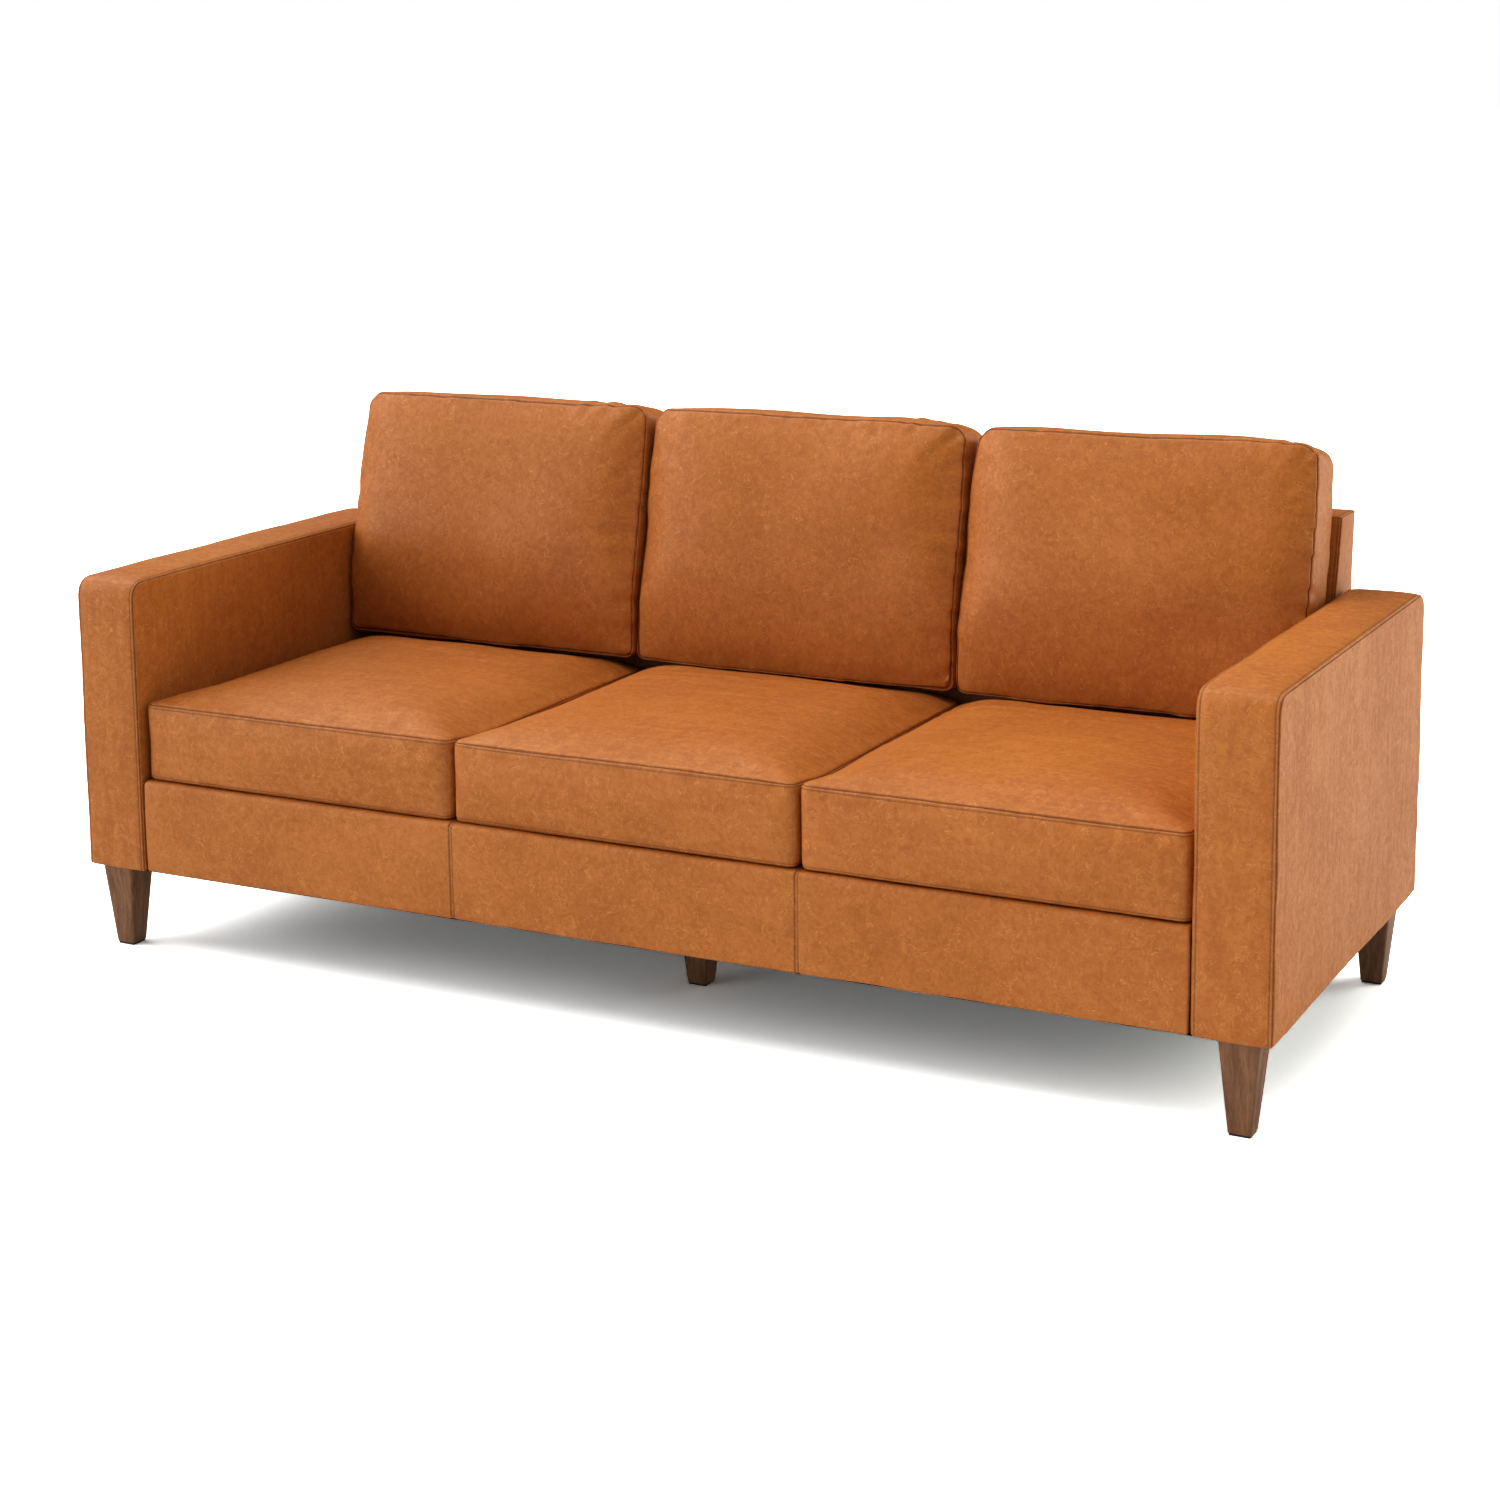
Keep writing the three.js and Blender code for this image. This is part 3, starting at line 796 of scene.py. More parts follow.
LEATHER = tan_leather("tan_leather")
SIDE_LEATHER = tan_leather("tan_leather_arms", streak=0.25)
SEAT_LEATHER = tan_leather("tan_leather_seats", streak=0.22)
THREAD = thread()
WALNUT = walnut()
TIMBER = frame_timber()
DECK_CLOTH = woven("deck_cloth", (0.085, 0.048, 0.028), (0.155, 0.092, 0.055), 700.0, 0.9)
DUST_CLOTH = woven("dust_cloth", (0.006, 0.006, 0.006), (0.020, 0.019, 0.018), 900.0, 0.95)
SPRING_STEEL = steel("spring_steel", (0.42, 0.43, 0.45), 0.32)
BOLT_STEEL = steel("bolt_steel", (0.66, 0.67, 0.68), 0.26)
PLASTIC = glide_plastic()


# ---------------------------------------------------------------- seat cushions
def hide_place(form, seed):
    """Where each point lies on its hide, so that no two pieces share the same marks."""
    offset = np.random.default_rng(seed).uniform(-9, 9, 3)
    return form.grid.places + offset


def seat_start(form, crown):
    """The seat cover before filling: crowned on top, bulging a little all round."""
    points = form.rounded()
    u, v, t = form.shares.T
    x, y = form.grid.places[:, 0], form.grid.places[:, 1]
    rise = risen(form.half[0] - np.abs(x), SEAT_EDGE_REACH) * risen(form.half[1] + y, SEAT_EDGE_REACH)
    rise = rise * risen(form.half[1] - y, 2 * SEAT_EDGE_REACH)
    points[:, 2] += crown * rise * (1 + t) / 2
    dip = notch(form.half[0] - np.abs(x), 0.045) * ramp(form.half[1] + y, -0.01, 0.12)
    points[:, 2] -= SEAT_SIDE_DROP * dip * np.maximum(t, 0) ** 2
    swell = SEAT_PINCH * (1 - t**4)
    swell = swell + np.where(v < -0.5, SEAT_FRONT_BULGE - SEAT_PINCH, 0) * (1 - u**4) * (1 - t**4)
    points[:, :2] += form.sideways * np.where(form.from_band() < 1e-9, swell, 0)[:, None]
    return points


def filled_out(form, coarse, start, seam_hold):
    """Fills a cover whose bottom is held still and whose seams hold by a share."""
    held = np.where(coarse.shares[:, 2] < -0.99, 1.0, 0.0)
    on_seam = coarse.from_band() + coarse.from_panel() < 1e-6
    held = np.maximum(held, np.where(on_seam, seam_hold, 0))
    return carried(blown_up(coarse, start, held), coarse.grid, form.grid)


def seat_filling(form, seed):
    """What filling does to the cover: a cloth simulation, weaker where the cushion rests."""
    coarse = form.coarse(CLOTH_STEP)
    start = seat_start(coarse, SEAT_CROWN * SEAT_UNFILLED)
    uneven = soft_noise(coarse.grid, (0.13, 0.13, 0.08), seed)[:, None]
    start += uneven * outward(start, coarse.grid.faces) * 0.0012
    return filled_out(form, coarse, start, SEAT_SEAM_HOLD)


def seat_cushion(place, seed):
    low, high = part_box(f"seat_cushion_{place}")
    half = (
        (high.x - low.x) / 2 - SEAT_PINCH,
        (high.y - low.y - SEAT_FRONT_BULGE) / 2 - SEAT_PINCH,
        (high.z - low.z - SEAT_CROWN) / 2,
    )
    origin = ((low.x + high.x) / 2, high.y - half[1] - SEAT_PINCH, low.z + half[2])
    form = BoxedForm(half, (SEAT_CORNER, SEAT_CORNER), SEAT_ROLL, 0.0075)
    grid = form.grid
    v, t = form.shares.T[1:]
    crown = SEAT_CROWN
    crown = SEAT_CROWN * SEAT_UNFILLED
    points = seat_start(form, crown)
    points += seat_filling(form, seed)
    top = np.where(t > 0.99, 1.0, 0)
    inwards = form.from_band()
    normals = outward(points, grid.faces)
    seam, beside = form.groove()
    soft = soft_noise(grid, (0.16, 0.12, 0.07), seed + 1) * 0.0011
    folds = soft_noise(grid, (0.10, 0.019, 0.05), seed + 2) * 0.0011 * top * ramp(inwards, 0.01, 0.09)
    folds *= 0.35 + 0.65 * ramp(v, -0.4, 0.7)
    gathers = soft_noise(grid, (0.021, 0.021, 0.04), seed + 3) * 0.00035
    gathers = gathers * notch(inwards + form.from_panel(), 0.02)
    lift = (soft + folds + gathers) * (t > -0.98)
    lift -= SEAM_DEPTH * seam + TOPSTITCH_DEPTH * beside
    points += normals * lift[:, None]
    limit = (high.x - low.x) / 2 + COVER_SLACK
    points[:, 0] = np.clip(points[:, 0], -limit, limit)
    points[:, 1] = np.minimum(points[:, 1], high.y - origin[1])
    points[:, 2] = np.maximum(points[:, 2], -half[2])
    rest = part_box(f"back_cushion_{place}")[0].z - origin[2] - SEAT_REST_GAP
    rest = rest + SEAT_REST_SLOPE * np.maximum(SEAT_REST_FRONT - origin[1] - points[:, 1], 0)
    points[:, 2] = np.where(t > 0.5, lower_of(points[:, 2], rest, 0.003), points[:, 2])
    points += np.array(origin)
    across_hide = hide_place(form, seed)[:, (1, 0, 2)]
    # the seam mark sets the painted shade in the seam grooves and stitched rows
    marks = {"hide_place": across_hide, "seam": np.maximum(seam, ROW_SHADE * beside)}
    body = f"seat_{place}"
    piece = add_piece(f"seat_cover_{place}", points, grid.faces, SEAT_LEATHER, body, marks)
    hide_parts(f"seat_cushion_{place}", f"seat_foam_{place}")
    normals = outward(points, grid.faces)
    inset = half[2] - TOPSTITCH_INSET
    rows = [(points[ring], normals[ring]) for ring in (grid.ring(inset), grid.ring(-inset))]
    add_stitches(f"seat_stitches_{place}", rows, body)


# ---------------------------------------------------------------- back cushions
def back_start(form, crown):
    """The back cover before filling: its front panel crowned, its foot sagging on the seat."""
    points = form.rounded()
    u, v, t = form.shares.T
    x, y = form.grid.places[:, 0], form.grid.places[:, 1]
    rise = risen(form.half[0] - np.abs(x), BACK_EDGE_REACH) * risen(form.half[1] - y, BACK_EDGE_REACH)
    rise = rise * risen(form.half[1] + y, BACK_FOOT_REACH)
    points[:, 2] += crown * rise * (1 + t) / 2
    drop = BACK_LEFT_DROP * notch(form.half[0] + x, 0.040)
    drop = np.maximum(drop, BACK_RIGHT_DROP * notch(form.half[0] - x, 0.030))
    drop = np.maximum(drop, BACK_FOOT_DROP * notch(form.half[1] + y, 0.085))
    points[:, 2] -= drop * np.maximum(t, 0) ** 1.5
    on_band = form.from_band() < 1e-9
    swell = BACK_PINCH * (1 - t**4)
    swell = swell + np.where(v > 0.5, BACK_TOP_CROWN - BACK_PINCH, 0) * (1 - u**4) * (1 - t**4)
    points[:, :2] += form.sideways * np.where(on_band, swell, 0)[:, None]
    return points


def back_filling(form, seed):
    """What filling does to a back cushion's cover."""
    coarse = form.coarse(CLOTH_STEP)
    start = back_start(coarse, BACK_CROWN * BACK_UNFILLED)
    uneven = soft_noise(coarse.grid, (0.12, 0.12, 0.06), seed)[:, None]
    start += uneven * outward(start, coarse.grid.faces) * 0.002
    return filled_out(form, coarse, start, BACK_SEAM_HOLD)


def puckers(form, seed):
    """Small gathers that run into the panel from its right-hand seam and upper corners."""
    x, y = form.grid.places[:, 0], form.grid.places[:, 1]
    t = form.shares[:, 2]
    random = np.random.default_rng(seed)
    half_x, half_y = form.half[0], form.half[1]
    lift = np.zeros(len(x))
    for number in range(11):
        foot = (half_x, half_y * (0.93 - 0.185 * number + random.uniform(-0.06, 0.06)))
        angle = math.radians(random.uniform(165, 205))
        if number < 2:
            angle = math.radians(random.uniform(205, 228))
        reach = random.uniform(0.022, 0.055)
        depth = random.uniform(0.0014, 0.0032)
        lift += fold(x - foot[0], y - foot[1], angle, reach, random.uniform(0.0045, 0.008)) * depth
    for number in range(5):
        foot = (half_x * random.uniform(0.55, 0.97), half_y)
        angle = math.radians(random.uniform(215, 245))
        depth = random.uniform(0.0006, 0.0013)
        lift += fold(x - foot[0], y - foot[1], angle, random.uniform(0.02, 0.045), 0.007) * depth
    return lift * (t > 0)


def fold(x, y, angle, reach, width):
    """A crest with a hollow beside it, running out from a seam and fading along its reach."""
    along = x * math.cos(angle) + y * math.sin(angle)
    across = y * math.cos(angle) - x * math.sin(angle)
    fade = np.exp(-np.maximum(along, 0) / reach) * (along > -0.02)
    return fade * (notch(across, width) - 0.8 * notch(across - 1.7 * width, width))


def back_cushion(place, seed):
    low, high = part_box(f"back_cushion_{place}")
    half = (
        (high.x - low.x) / 2 - BACK_PINCH,
        (BACK_HEIGHT - BACK_PINCH) / 2,
        BACK_THICKNESS / 2,
    )
    form = BoxedForm(half, (BACK_FOOT_CORNER, BACK_CORNER), BACK_ROLL, 0.0075)
    grid = form.grid
    u, v, t = form.shares.T
    crown = BACK_CROWN * BACK_UNFILLED
    points = back_start(form, crown)
    points += back_filling(form, seed)
    normals = outward(points, grid.faces)
    seam = form.groove()[0]
    inwards = form.from_band()
    soft = soft_noise(grid, (0.14, 0.11, 0.05), seed + 1) * 0.0018
    gathers = soft_noise(grid, (0.019, 0.019, 0.05), seed + 3) * 0.00055
    gathers = gathers * notch(inwards + form.from_panel(), 0.022)
    lift = (soft + gathers + puckers(form, seed + 4)) * (t > -0.98) - SEAM_DEPTH * seam
    points += normals * lift[:, None]
    limit = (high.x - low.x) / 2 + COVER_SLACK
    points[:, 0] = np.clip(points[:, 0], -limit, limit)
    points[:, 2] = np.maximum(points[:, 2], -half[2])
    points[:, 0] -= BACK_TOP_DRAWN_IN * u * ramp(v, 0.2, 1.0)
    if place == "right":
        points[:, 0] -= BACK_RIGHT_DRAWN_IN * ramp(u, 0.3, 1.0)
    foot = ramp(v, -0.45, -1.0)
    points[:, 1] -= math.tan(BACK_RAKE) * np.maximum(points[:, 2] + half[2], 0) * foot
    up = (0, math.sin(BACK_RAKE), math.cos(BACK_RAKE))
    forward = (0, -math.cos(BACK_RAKE), math.sin(BACK_RAKE))
    points = placed(points, ((1, 0, 0), up, forward), ((low.x + high.x) / 2, 0, 0))
    rise = low.z - points[:, 2].min()
    points += np.array((0, high.y - points[:, 1].max(), rise))
    # the seam mark sets the painted shade in the seam grooves
    marks = {"hide_place": hide_place(form, seed), "seam": seam}
    body = f"back_{place}"
    piece = add_piece(f"back_cushion_cover_{place}", points, grid.faces, LEATHER, body, marks)
    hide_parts(f"back_cushion_{place}", f"back_fill_{place}")


# ---------------------------------------------------------------- arms
def hemmed(form, points, seed, seam, beside):
    """A cover with its underside cut away inside the hem, and the marks at its points."""
    grid = form.grid
    # the seam mark sets the painted shade in the seam grooves and stitched rows
    seam = np.maximum(seam, ROW_SHADE * beside)
    under = np.abs(form.shares[:, 1][grid.faces].mean(axis=1) + 1) < 1e-6
    middle = form.half - np.abs(grid.places[grid.faces].mean(axis=1))
    opening = under & (np.minimum(middle[:, 0], middle[:, 2]) > HEM_WIDTH)
    hide = hide_place(form, seed)
    points, faces, hide, seam = used_only(points, grid.faces[~opening], hide, seam)
    return points, faces, {"hide_place": hide, "seam": seam}


def arm(side, sign):
    low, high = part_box(f"arm_cover_{side}")
    half = tuple((high[axis] - low[axis]) / 2 - ARM_CROWN for axis in (1, 2, 0))
    half = (half[0], (high.z - low.z) / 2, half[2])
    centre = (low + high) / 2
    form = BoxedForm(half, (ARM_ROLL, ARM_CORNER), ARM_ROLL, 0.012)
    grid = form.grid
    points = form.rounded()
    u, v, t = form.shares.T
    on_band = form.from_band() < 1e-9
    bulge = ARM_CROWN + (ARM_TOP_CROWN - ARM_CROWN) * (v > 0.999) * (1 - u**8)
    points[:, :2] += form.sideways * np.where(on_band, bulge * (1 - t**4), 0)[:, None]
    points[:, 2] += t * ARM_CROWN * (1 - u**4) * (1 - v**4)
    normals = outward(points, grid.faces)
    seam, beside = form.groove()
    seed = 40 + sign
    soft = soft_noise(grid, (0.12, 0.09, 0.05), seed) * 0.0006
    gathers = soft_noise(grid, (0.024, 0.024, 0.04), seed + 9) * 0.00025
    gathers = gathers * notch(form.from_band() + form.from_panel(), 0.02)
    lift = soft + gathers - SEAM_DEPTH * seam - TOPSTITCH_DEPTH * beside
    points += normals * lift[:, None]
    points[:, 1] = np.maximum(points[:, 1], low.z - centre.z)
    points = placed(points, ((0, 1, 0), (0, 0, 1), (1, 0, 0)), centre)
    kept, faces, marks = hemmed(form, points, seed, seam, beside)
    piece = add_piece(f"arm_{side}", kept, faces, SIDE_LEATHER, FRAME_BODY, marks)
    add_thickness(piece, LEATHER_THICKNESS)
    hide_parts(f"arm_cover_{side}")
    normals = outward(points, grid.faces)
    rows = []
    for end in (-1, 1):
        ring = grid.ring(end * (form.half[2] - TOPSTITCH_INSET))
        ring = np.roll(ring, -np.flatnonzero(v[ring] <= -1)[-1])
        ring = ring[v[ring] > -0.995]
        rows.append((points[ring], normals[ring]))
    add_stitches(f"arm_stitches_{side}", rows, FRAME_BODY, closed=False)


# ---------------------------------------------------------------- front rail
def panel_seams():
    """Where the three panels meet, below the gaps between the seats, and the rows beside."""
    seats = [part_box(f"seat_cushion_{place}") for place in SEATS]
    seams = [(one[1].x + following[0].x) / 2 for one, following in zip(seats, seats[1:])]
    return seams, [seam + PANEL_ROW_INSET for seam in seams]


def rail_path(low, high):
    """Side view of the rail's skin: hem, face, rounded top edge and the return over the top."""
    points = []
    hem_rear = low.y + 0.036
    for y in np.linspace(hem_rear, low.y + RAIL_HEM_CORNER, 6):
        points.append((y, low.z))
    for turn in np.linspace(0, math.pi / 2, 5)[1:]:
        points.append((
            low.y + RAIL_HEM_CORNER * (1 - math.sin(turn)),
            low.z + RAIL_HEM_CORNER * (1 - math.cos(turn)),
        ))
    for z in graded(low.z + RAIL_HEM_CORNER, high.z - RAIL_CORNER, 0.009)[1:]:
        points.append((low.y, z))
    for turn in np.linspace(0, math.pi / 2, 8)[1:]:
        points.append((
            low.y + RAIL_CORNER * (1 - math.cos(turn)),
            high.z - RAIL_CORNER * (1 - math.sin(turn)),
        ))
    for y in np.linspace(low.y + RAIL_CORNER, high.y, 8)[1:]:
        points.append((y, high.z))
    return np.array(points)


def front_rail():
    low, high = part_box("front_rail_cover")
    seams, rows = panel_seams()
    lines = graded(low.x + RAIL_TURN, high.x - RAIL_TURN, 0.012, (*seams, *rows))
    path = rail_path(low, high)
    tangent = np.gradient(path, axis=0)
    tangent /= np.linalg.norm(tangent, axis=1, keepdims=True)
    inward = np.column_stack([tangent[:, 1], -tangent[:, 0]])
    columns = []
    for sign, x in ((-1, lines[0]), (1, lines[-1])):
        ends = []
        for angle in np.linspace(0, math.pi / 2, 5)[1:]:
            bend = RAIL_TURN * math.sin(angle)
            ends.append((x + sign * bend, RAIL_TURN * (1 - math.cos(angle))))
        ends.append((x + sign * RAIL_TURN, RAIL_RETURN))
        columns.append(ends)
    across = [*columns[0][::-1], *[(x, 0.0) for x in lines], *columns[1]]
    points = np.array([
        [(x, y + depth * inner[0], z + depth * inner[1]) for (y, z), inner in zip(path, inward)]
        for x, depth in across
    ])
    shape = points.shape[:2]
    index = np.arange(shape[0] * shape[1]).reshape(shape)
    faces = sheet_faces(index)[:, ::-1]
    points = points.reshape(-1, 3)
    normals = outward(points, faces)
    if normals[index[shape[0] // 2, 12], 1] > 0:
        faces, normals = faces[:, ::-1], -normals
    x, z = points[:, 0], points[:, 2]
    flare = 1 + 1.5 * ramp(z, low.z + 0.05, low.z)
    seam = np.max([notch(x - place, SEAM_HALF_WIDTH) for place in seams], axis=0)
    beside = np.max([notch(x - place, TOPSTITCH_HALF_WIDTH) for place in rows], axis=0)
    apart = np.min([np.abs(x - place) for place in seams], axis=0)
    share = np.clip((z - low.z) / (high.z - low.z), 0, 1)
    puff = 0.0016 * ramp(apart, 0.0, 0.045) * np.sin(math.pi * share) ** 0.7
    random = np.random.default_rng(70)
    ripple = np.zeros(len(x))
    for _ in range(9):
        strength = random.uniform(0.4, 1)
        wave = x * random.uniform(8, 60) + z * random.uniform(-25, 25)
        ripple += strength * np.sin(wave + random.uniform(0, 6))
    ripple *= RAIL_RIPPLE
    lift = puff + ripple - SEAM_DEPTH * seam - TOPSTITCH_DEPTH * beside * flare
    points += normals * lift[:, None]
    offset = random.uniform(-9, 9, 3)
    # the seam mark sets the painted shade in the rail's seam grooves and stitched rows, weakened by
    # RAIL_SHADE
    marks = {"hide_place": points + offset, "seam": RAIL_SHADE * np.maximum(seam, ROW_SHADE * beside)}
    piece = add_piece("front_rail_leather", points, faces, LEATHER, FRAME_BODY, marks)
    add_thickness(piece, LEATHER_THICKNESS)
    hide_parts("front_rail_cover")
    stitched = []
    for place in rows:
        column = np.abs(np.array([x for x, _ in across]) - place).argmin()
        ring = index[column]
        ring = ring[(points[ring, 1] < low.y + 0.02)]
        stitched.append((points[ring], normals[ring]))
    add_stitches("front_rail_stitches", stitched, FRAME_BODY, closed=False)


# ---------------------------------------------------------------- back
def back_wedge(shares, seat_level):
    """Places on the back's side view, from shares of its depth and height."""
    low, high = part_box("back_cover")
    rear_slope = math.tan(BACK_REAR_RAKE)
    top = high.z
    front_top = high.y - BACK_TOP_THICKNESS
    s, h = (shares[:, 0] + 1) / 2, (shares[:, 1] + 1) / 2
    front_z = seat_level + h * (top - seat_level)
    rear_z = low.z + h * (top - low.z)
    front_y = front_top - (top - front_z) * math.tan(BACK_RAKE)
    rear_y = high.y - (top - rear_z) * rear_slope
    return front_y + s * (rear_y - front_y), front_z + s * (rear_z - front_z)


def back():
    low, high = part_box("back_cover")
    half = ((high.y - low.y) / 2, (high.z - low.z) / 2, (high.x - low.x) / 2 - 0.001)
    seams, rows = panel_seams()
    form = BoxedForm(half, (0.006, COVER_CORNER), 0.006, 0.012, ((), (), (*seams, *rows)))
    grid = form.grid
    flat = form.rounded()
    u, v, t = form.shares.T
    y, z = back_wedge(flat[:, :2] / form.half[:2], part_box("seat_deck")[0].z)
    points = np.column_stack([flat[:, 2], y, z])
    normals = outward(points, grid.faces)
    if normals[grid.index[0, len(grid.lines[1]) // 2, len(grid.lines[2]) // 2], 1] > 0:
        normals = -normals
    seam, beside = form.groove()
    x = points[:, 0]
    rear = (u > 0.99) & (form.from_band() < 1e-9)
    for place in seams:
        seam = np.maximum(seam, notch(x - place, SEAM_HALF_WIDTH) * rear)
    for place in rows:
        beside = np.maximum(beside, notch(x - place, TOPSTITCH_HALF_WIDTH) * rear)
    down = form.half[1] - grid.places[:, 1]
    inside = grid.places[:, 0] + form.half[0]
    top_edge = notch(np.where(np.abs(u + 1) < 1e-6, down, inside + down), SEAM_HALF_WIDTH) * (u < 0)
    seam = np.maximum(seam, top_edge * (form.from_band() < 1e-9))
    soft = soft_noise(grid, (0.1, 0.1, 0.14), 81) * 0.0007
    puff = 0.0012 * (1 - v**4) * rear
    lift = soft + puff - SEAM_DEPTH * seam - TOPSTITCH_DEPTH * beside
    for depth, height in ((0.012, 0.052), (0.019, 0.055)):
        spot = np.hypot(inside - depth, down - height)
        lift -= 0.0022 * notch(spot, 0.0032) * (t > 0.99)
    points += normals * lift[:, None]
    points[:, 2] = np.maximum(points[:, 2], low.z)
    kept, faces, marks = hemmed(form, points, 82, seam, beside)
    piece = add_piece("back_leather", kept, faces, LEATHER, FRAME_BODY, marks)
    add_thickness(piece, LEATHER_THICKNESS)
    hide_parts("back_cover")


# ---------------------------------------------------------------- deck and dust cover
def deck():
    low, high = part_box("seat_deck")
    half = tuple((high - low) / 2)
    quilting = np.linspace(-half[0], half[0], 16)[1:-1]
    form = BoxedForm(half, (0.008, 0.008), 0.003, 0.014, (tuple(quilting), (), ()))
    grid = form.grid
    points = form.rounded()
    normals = outward(points, grid.faces)
    x = grid.places[:, 0]
    apart = np.min([np.abs(x - place) for place in quilting], axis=0)
    line = np.max([notch(x - place, 0.002) for place in quilting], axis=0)
    top = form.shares[:, 2] > 0.99
    lift = (0.0011 * ramp(apart, 0, 0.03) * ramp(form.from_band(), 0, 0.03) - 0.0016 * line) * top
    points += normals * lift[:, None] + np.array((low + high) / 2)
    piece = add_piece("seat_deck_pad", points, grid.faces, DECK_CLOTH, FRAME_BODY)
    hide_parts("seat_deck")


def dust_cover():
    """Black cloth stapled under the frame, sagging a little between its staples."""
    low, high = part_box("dust_cover")
    opening = 0.033
    holes = []
    for leg in LEGS:
        leg_low, leg_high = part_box(f"leg_{leg}")
        holes.append(((leg_low.x + leg_high.x) / 2, (leg_low.y + leg_high.y) / 2))
    xs = sorted({round(x + side * opening, 6) for x, _ in holes for side in (-1, 1)})
    ys = sorted({round(y + side * opening, 6) for _, y in holes for side in (-1, 1)})
    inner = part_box("arm_cover_right")[0].x + 0.015
    back_low, back_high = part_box("back_cover")
    rear = back_high.y - (back_high.z - back_low.z) * math.tan(BACK_REAR_RAKE) - 0.015

    def filled(places, step):
        found = [places[0]]
        for place in places[1:]:
            count = max(1, math.ceil((place - found[-1]) / step))
            start = found[-1]
            found.extend(start + (place - start) * (n + 1) / count for n in range(count))
        return np.array(found)

    x_lines = filled(sorted({low.x, -inner, inner, high.x, *xs}), 0.02)
    y_lines = filled(sorted({low.y, rear, high.y, *ys}), 0.02)
    x, y = np.meshgrid(x_lines, y_lines, indexing="ij")
    index = np.arange(x.size).reshape(x.shape)
    faces = sheet_faces(index)
    x, y = x.ravel(), y.ravel()
    middle_x, middle_y = x[faces].mean(axis=1), y[faces].mean(axis=1)
    keep = ~((np.abs(middle_x) < inner) & (middle_y > rear))
    for hole_x, hole_y in holes:
        keep &= ~((np.abs(middle_x - hole_x) < opening) & (np.abs(middle_y - hole_y) < opening))
    span_x = np.minimum(high.x - np.abs(x), np.minimum(np.abs(x), np.abs(np.abs(x) - inner)))
    span_y = np.minimum(y - low.y, rear - y)
    sag = 0.0035 * ramp(span_x, 0, 0.2) * ramp(span_y, 0, 0.2)
    random = np.random.default_rng(90)
    for _ in range(10):
        wave = np.sin(x * random.uniform(-25, 25) + y * random.uniform(-25, 25) + random.uniform(0, 6))
        sag = sag * (1 + 0.08 * wave)
    points = np.column_stack([x, y, np.full(x.shape, high.z) - sag])
    points, faces = used_only(points, faces[keep])
    piece = add_piece("dust_cloth", points, faces, DUST_CLOTH, FRAME_BODY)
    add_thickness(piece, DUST_THICKNESS)
    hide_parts("dust_cover")


# ---------------------------------------------------------------- legs
def leg(name):
    low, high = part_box(f"leg_{name}")
    half = ((high.x - low.x) / 2, (high.y - low.y) / 2, (high.z - low.z) / 2)
    form = BoxedForm(half, (0.0055, 0.0055), 0.0016, 0.006)
    points = form.rounded()
    share = (points[:, 2] / half[2] + 1) / 2
    points[:, :2] *= (LEG_FOOT_SHARE + (1 - LEG_FOOT_SHARE) * share)[:, None]
    points += np.array((low + high) / 2)
    piece = add_piece(f"leg_wood_{name}", points, form.grid.faces, WALNUT, FRAME_BODY)
    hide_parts(f"leg_{name}")


def dress_hidden_parts():
    """Finishes for the timber, springs and fixings that keep their CAD shape."""
    finishes = (
        ("glide_", PLASTIC),
        ("leg_bolt_", BOLT_STEEL),
        ("seat_spring_", SPRING_STEEL),
    )
    for name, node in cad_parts.items():
        if node.hide_render:
            continue
        chosen = TIMBER
        for start, material in finishes:
            if name.startswith(start):
                chosen = material
        node.data.materials.clear()
        node.data.materials.append(chosen)


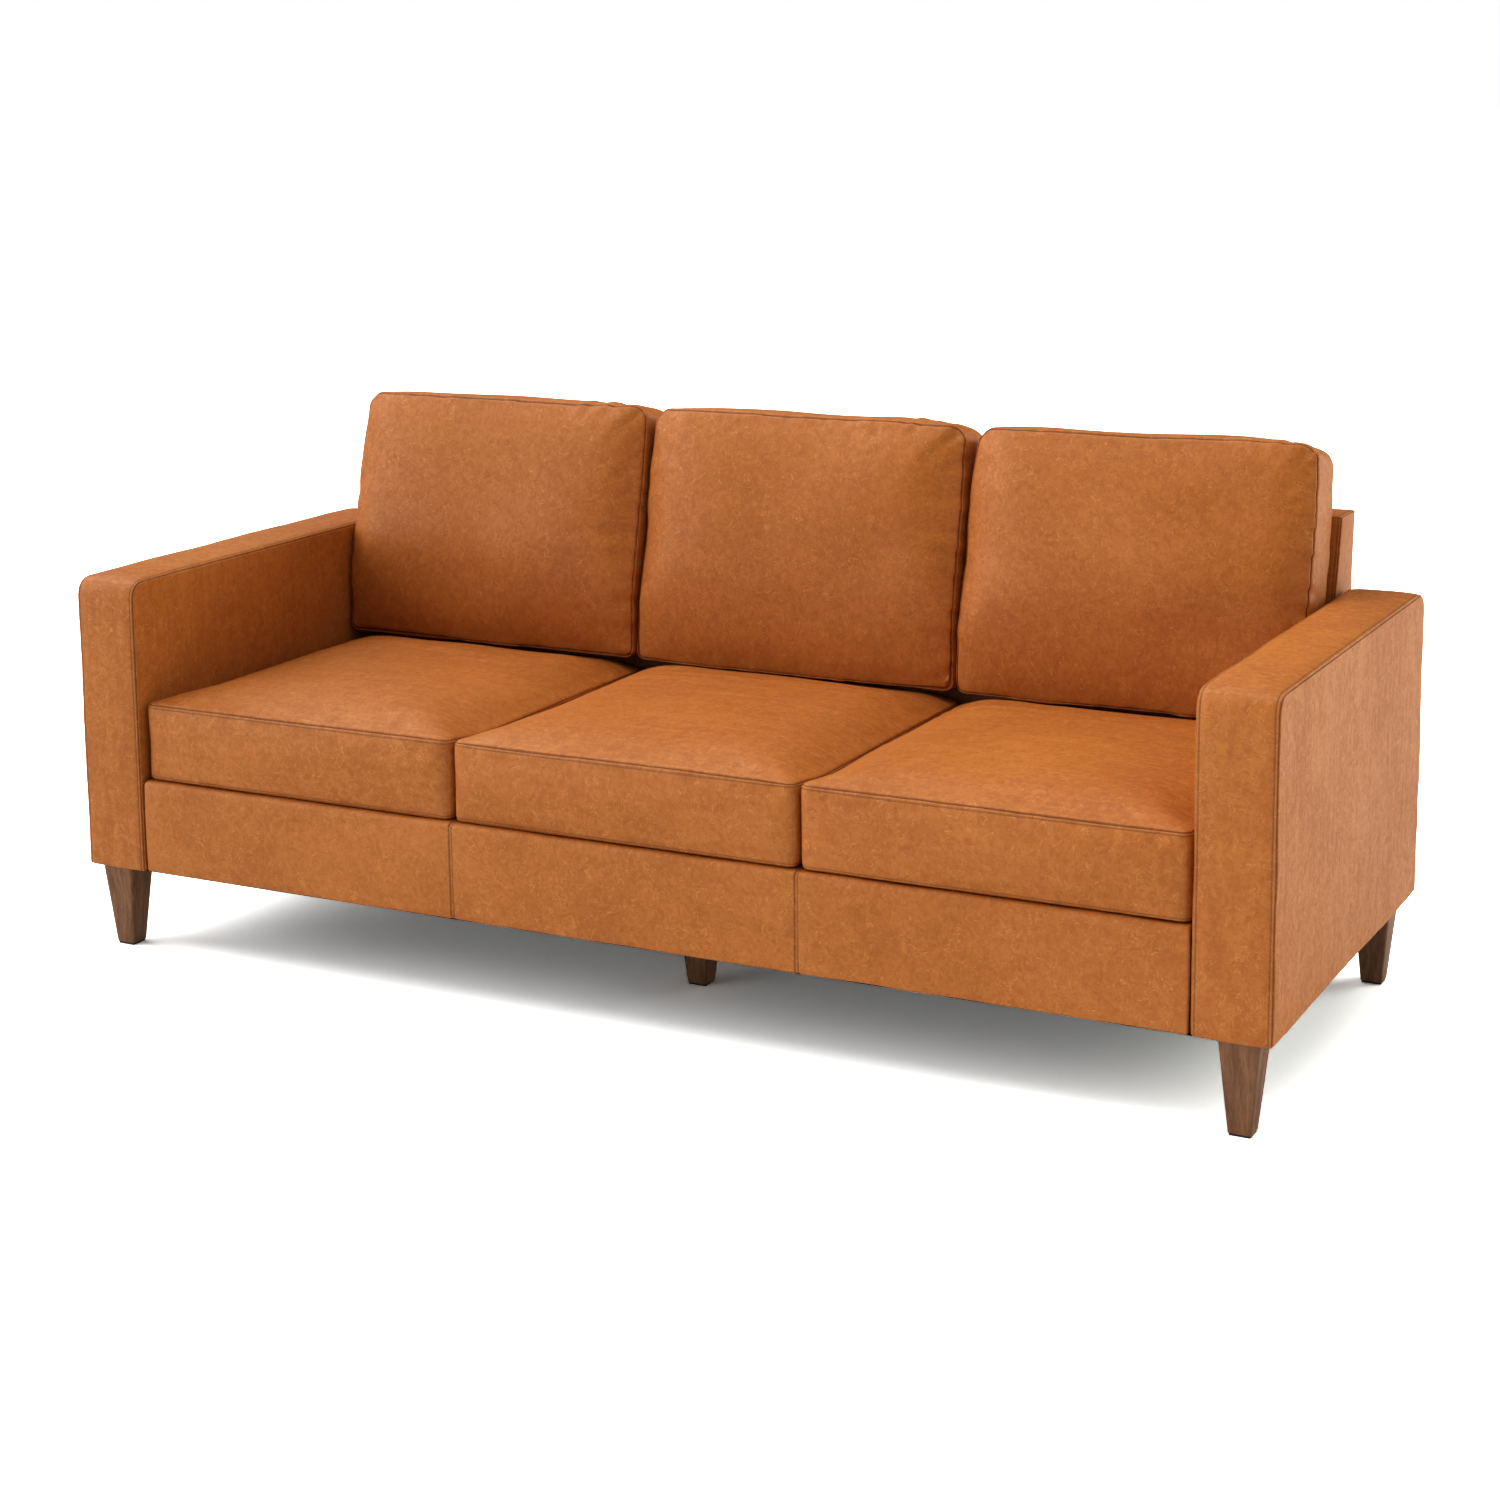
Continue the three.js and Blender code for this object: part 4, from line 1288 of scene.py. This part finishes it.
# ---------------------------------------------------------------- studio
def studio():
    """A pale floor, an even sky and soft suns round the sofa and overhead."""
    mesh = bpy.data.meshes.new("studio_floor")
    signs = ((-1, -1), (1, -1), (1, 1), (-1, 1))
    corners = [(FLOOR_REACH * x, FLOOR_REACH * y, 0) for x, y in signs]
    mesh.from_pydata(corners, [], [(0, 1, 2, 3)])
    floor = in_scene("studio_floor", mesh)
    material, tree, shader = new_material("studio_floor")
    seen = add_node(tree, "LightPath").outputs["Is Camera Ray"]
    colour = blended(tree, seen, (0.86, 0.86, 0.86, 1), (2.5, 2.48, 2.46, 1))
    tree.links.new(colour, shader.inputs["Base Color"])
    shader.inputs["Roughness"].default_value = 0.9
    shader.inputs["Specular IOR Level"].default_value = 0.0
    mesh.materials.append(material)

    world = bpy.data.worlds.new("studio")
    bpy.context.scene.world = world
    world.use_nodes = True
    tree = world.node_tree
    background = tree.nodes["Background"]
    background.inputs["Color"].default_value = (1, 1, 1, 1)
    seen = add_node(tree, "LightPath").outputs["Is Camera Ray"]
    strength = between(tree, seen, 0, 1, SKY, 1.0)
    tree.links.new(strength, background.inputs["Strength"])

    for name, strength, angle, azimuth, height, tint in SUNS:
        light = bpy.data.lights.new(name, "SUN")
        light.energy = strength
        light.angle = math.radians(angle)
        light.color = tint
        lamp = in_scene(name, light)
        a, h = math.radians(azimuth), math.radians(height)
        away = Vector((math.sin(a) * math.cos(h), -math.cos(a) * math.cos(h), math.sin(h)))
        lamp.rotation_mode = "QUATERNION"
        lamp.rotation_quaternion = away.to_track_quat("Z", "Y")


def camera():
    """Eye height, in front of the right arm, looking slightly down."""
    data = bpy.data.cameras.new("camera")
    data.lens = CAMERA_LENS
    data.sensor_width = 36.0
    data.shift_y = CAMERA_RISE
    data.clip_end = 200
    holder = in_scene("camera", data)
    turn = Matrix.Rotation(CAMERA_TURN, 4, "Z")
    tilt = Matrix.Rotation(math.pi / 2 - CAMERA_DIP, 4, "X")
    roll = Matrix.Rotation(CAMERA_ROLL, 4, "Z")
    holder.matrix_world = Matrix.Translation(CAMERA_PLACE) @ turn @ tilt @ roll
    bpy.context.scene.camera = holder


for side, sign in SIDES:
    arm(side, sign)
front_rail()
back()
deck()
dust_cover()
for name in LEGS:
    leg(name)
for number, place in enumerate(SEATS):
    seat_cushion(place, 100 + 10 * number)
    back_cushion(place, 200 + 10 * number)
dress_hidden_parts()
studio()
camera()
bpy.context.scene.view_settings.view_transform = "Standard"
bpy.context.scene.view_settings.gamma = CONTRAST_GAMMA
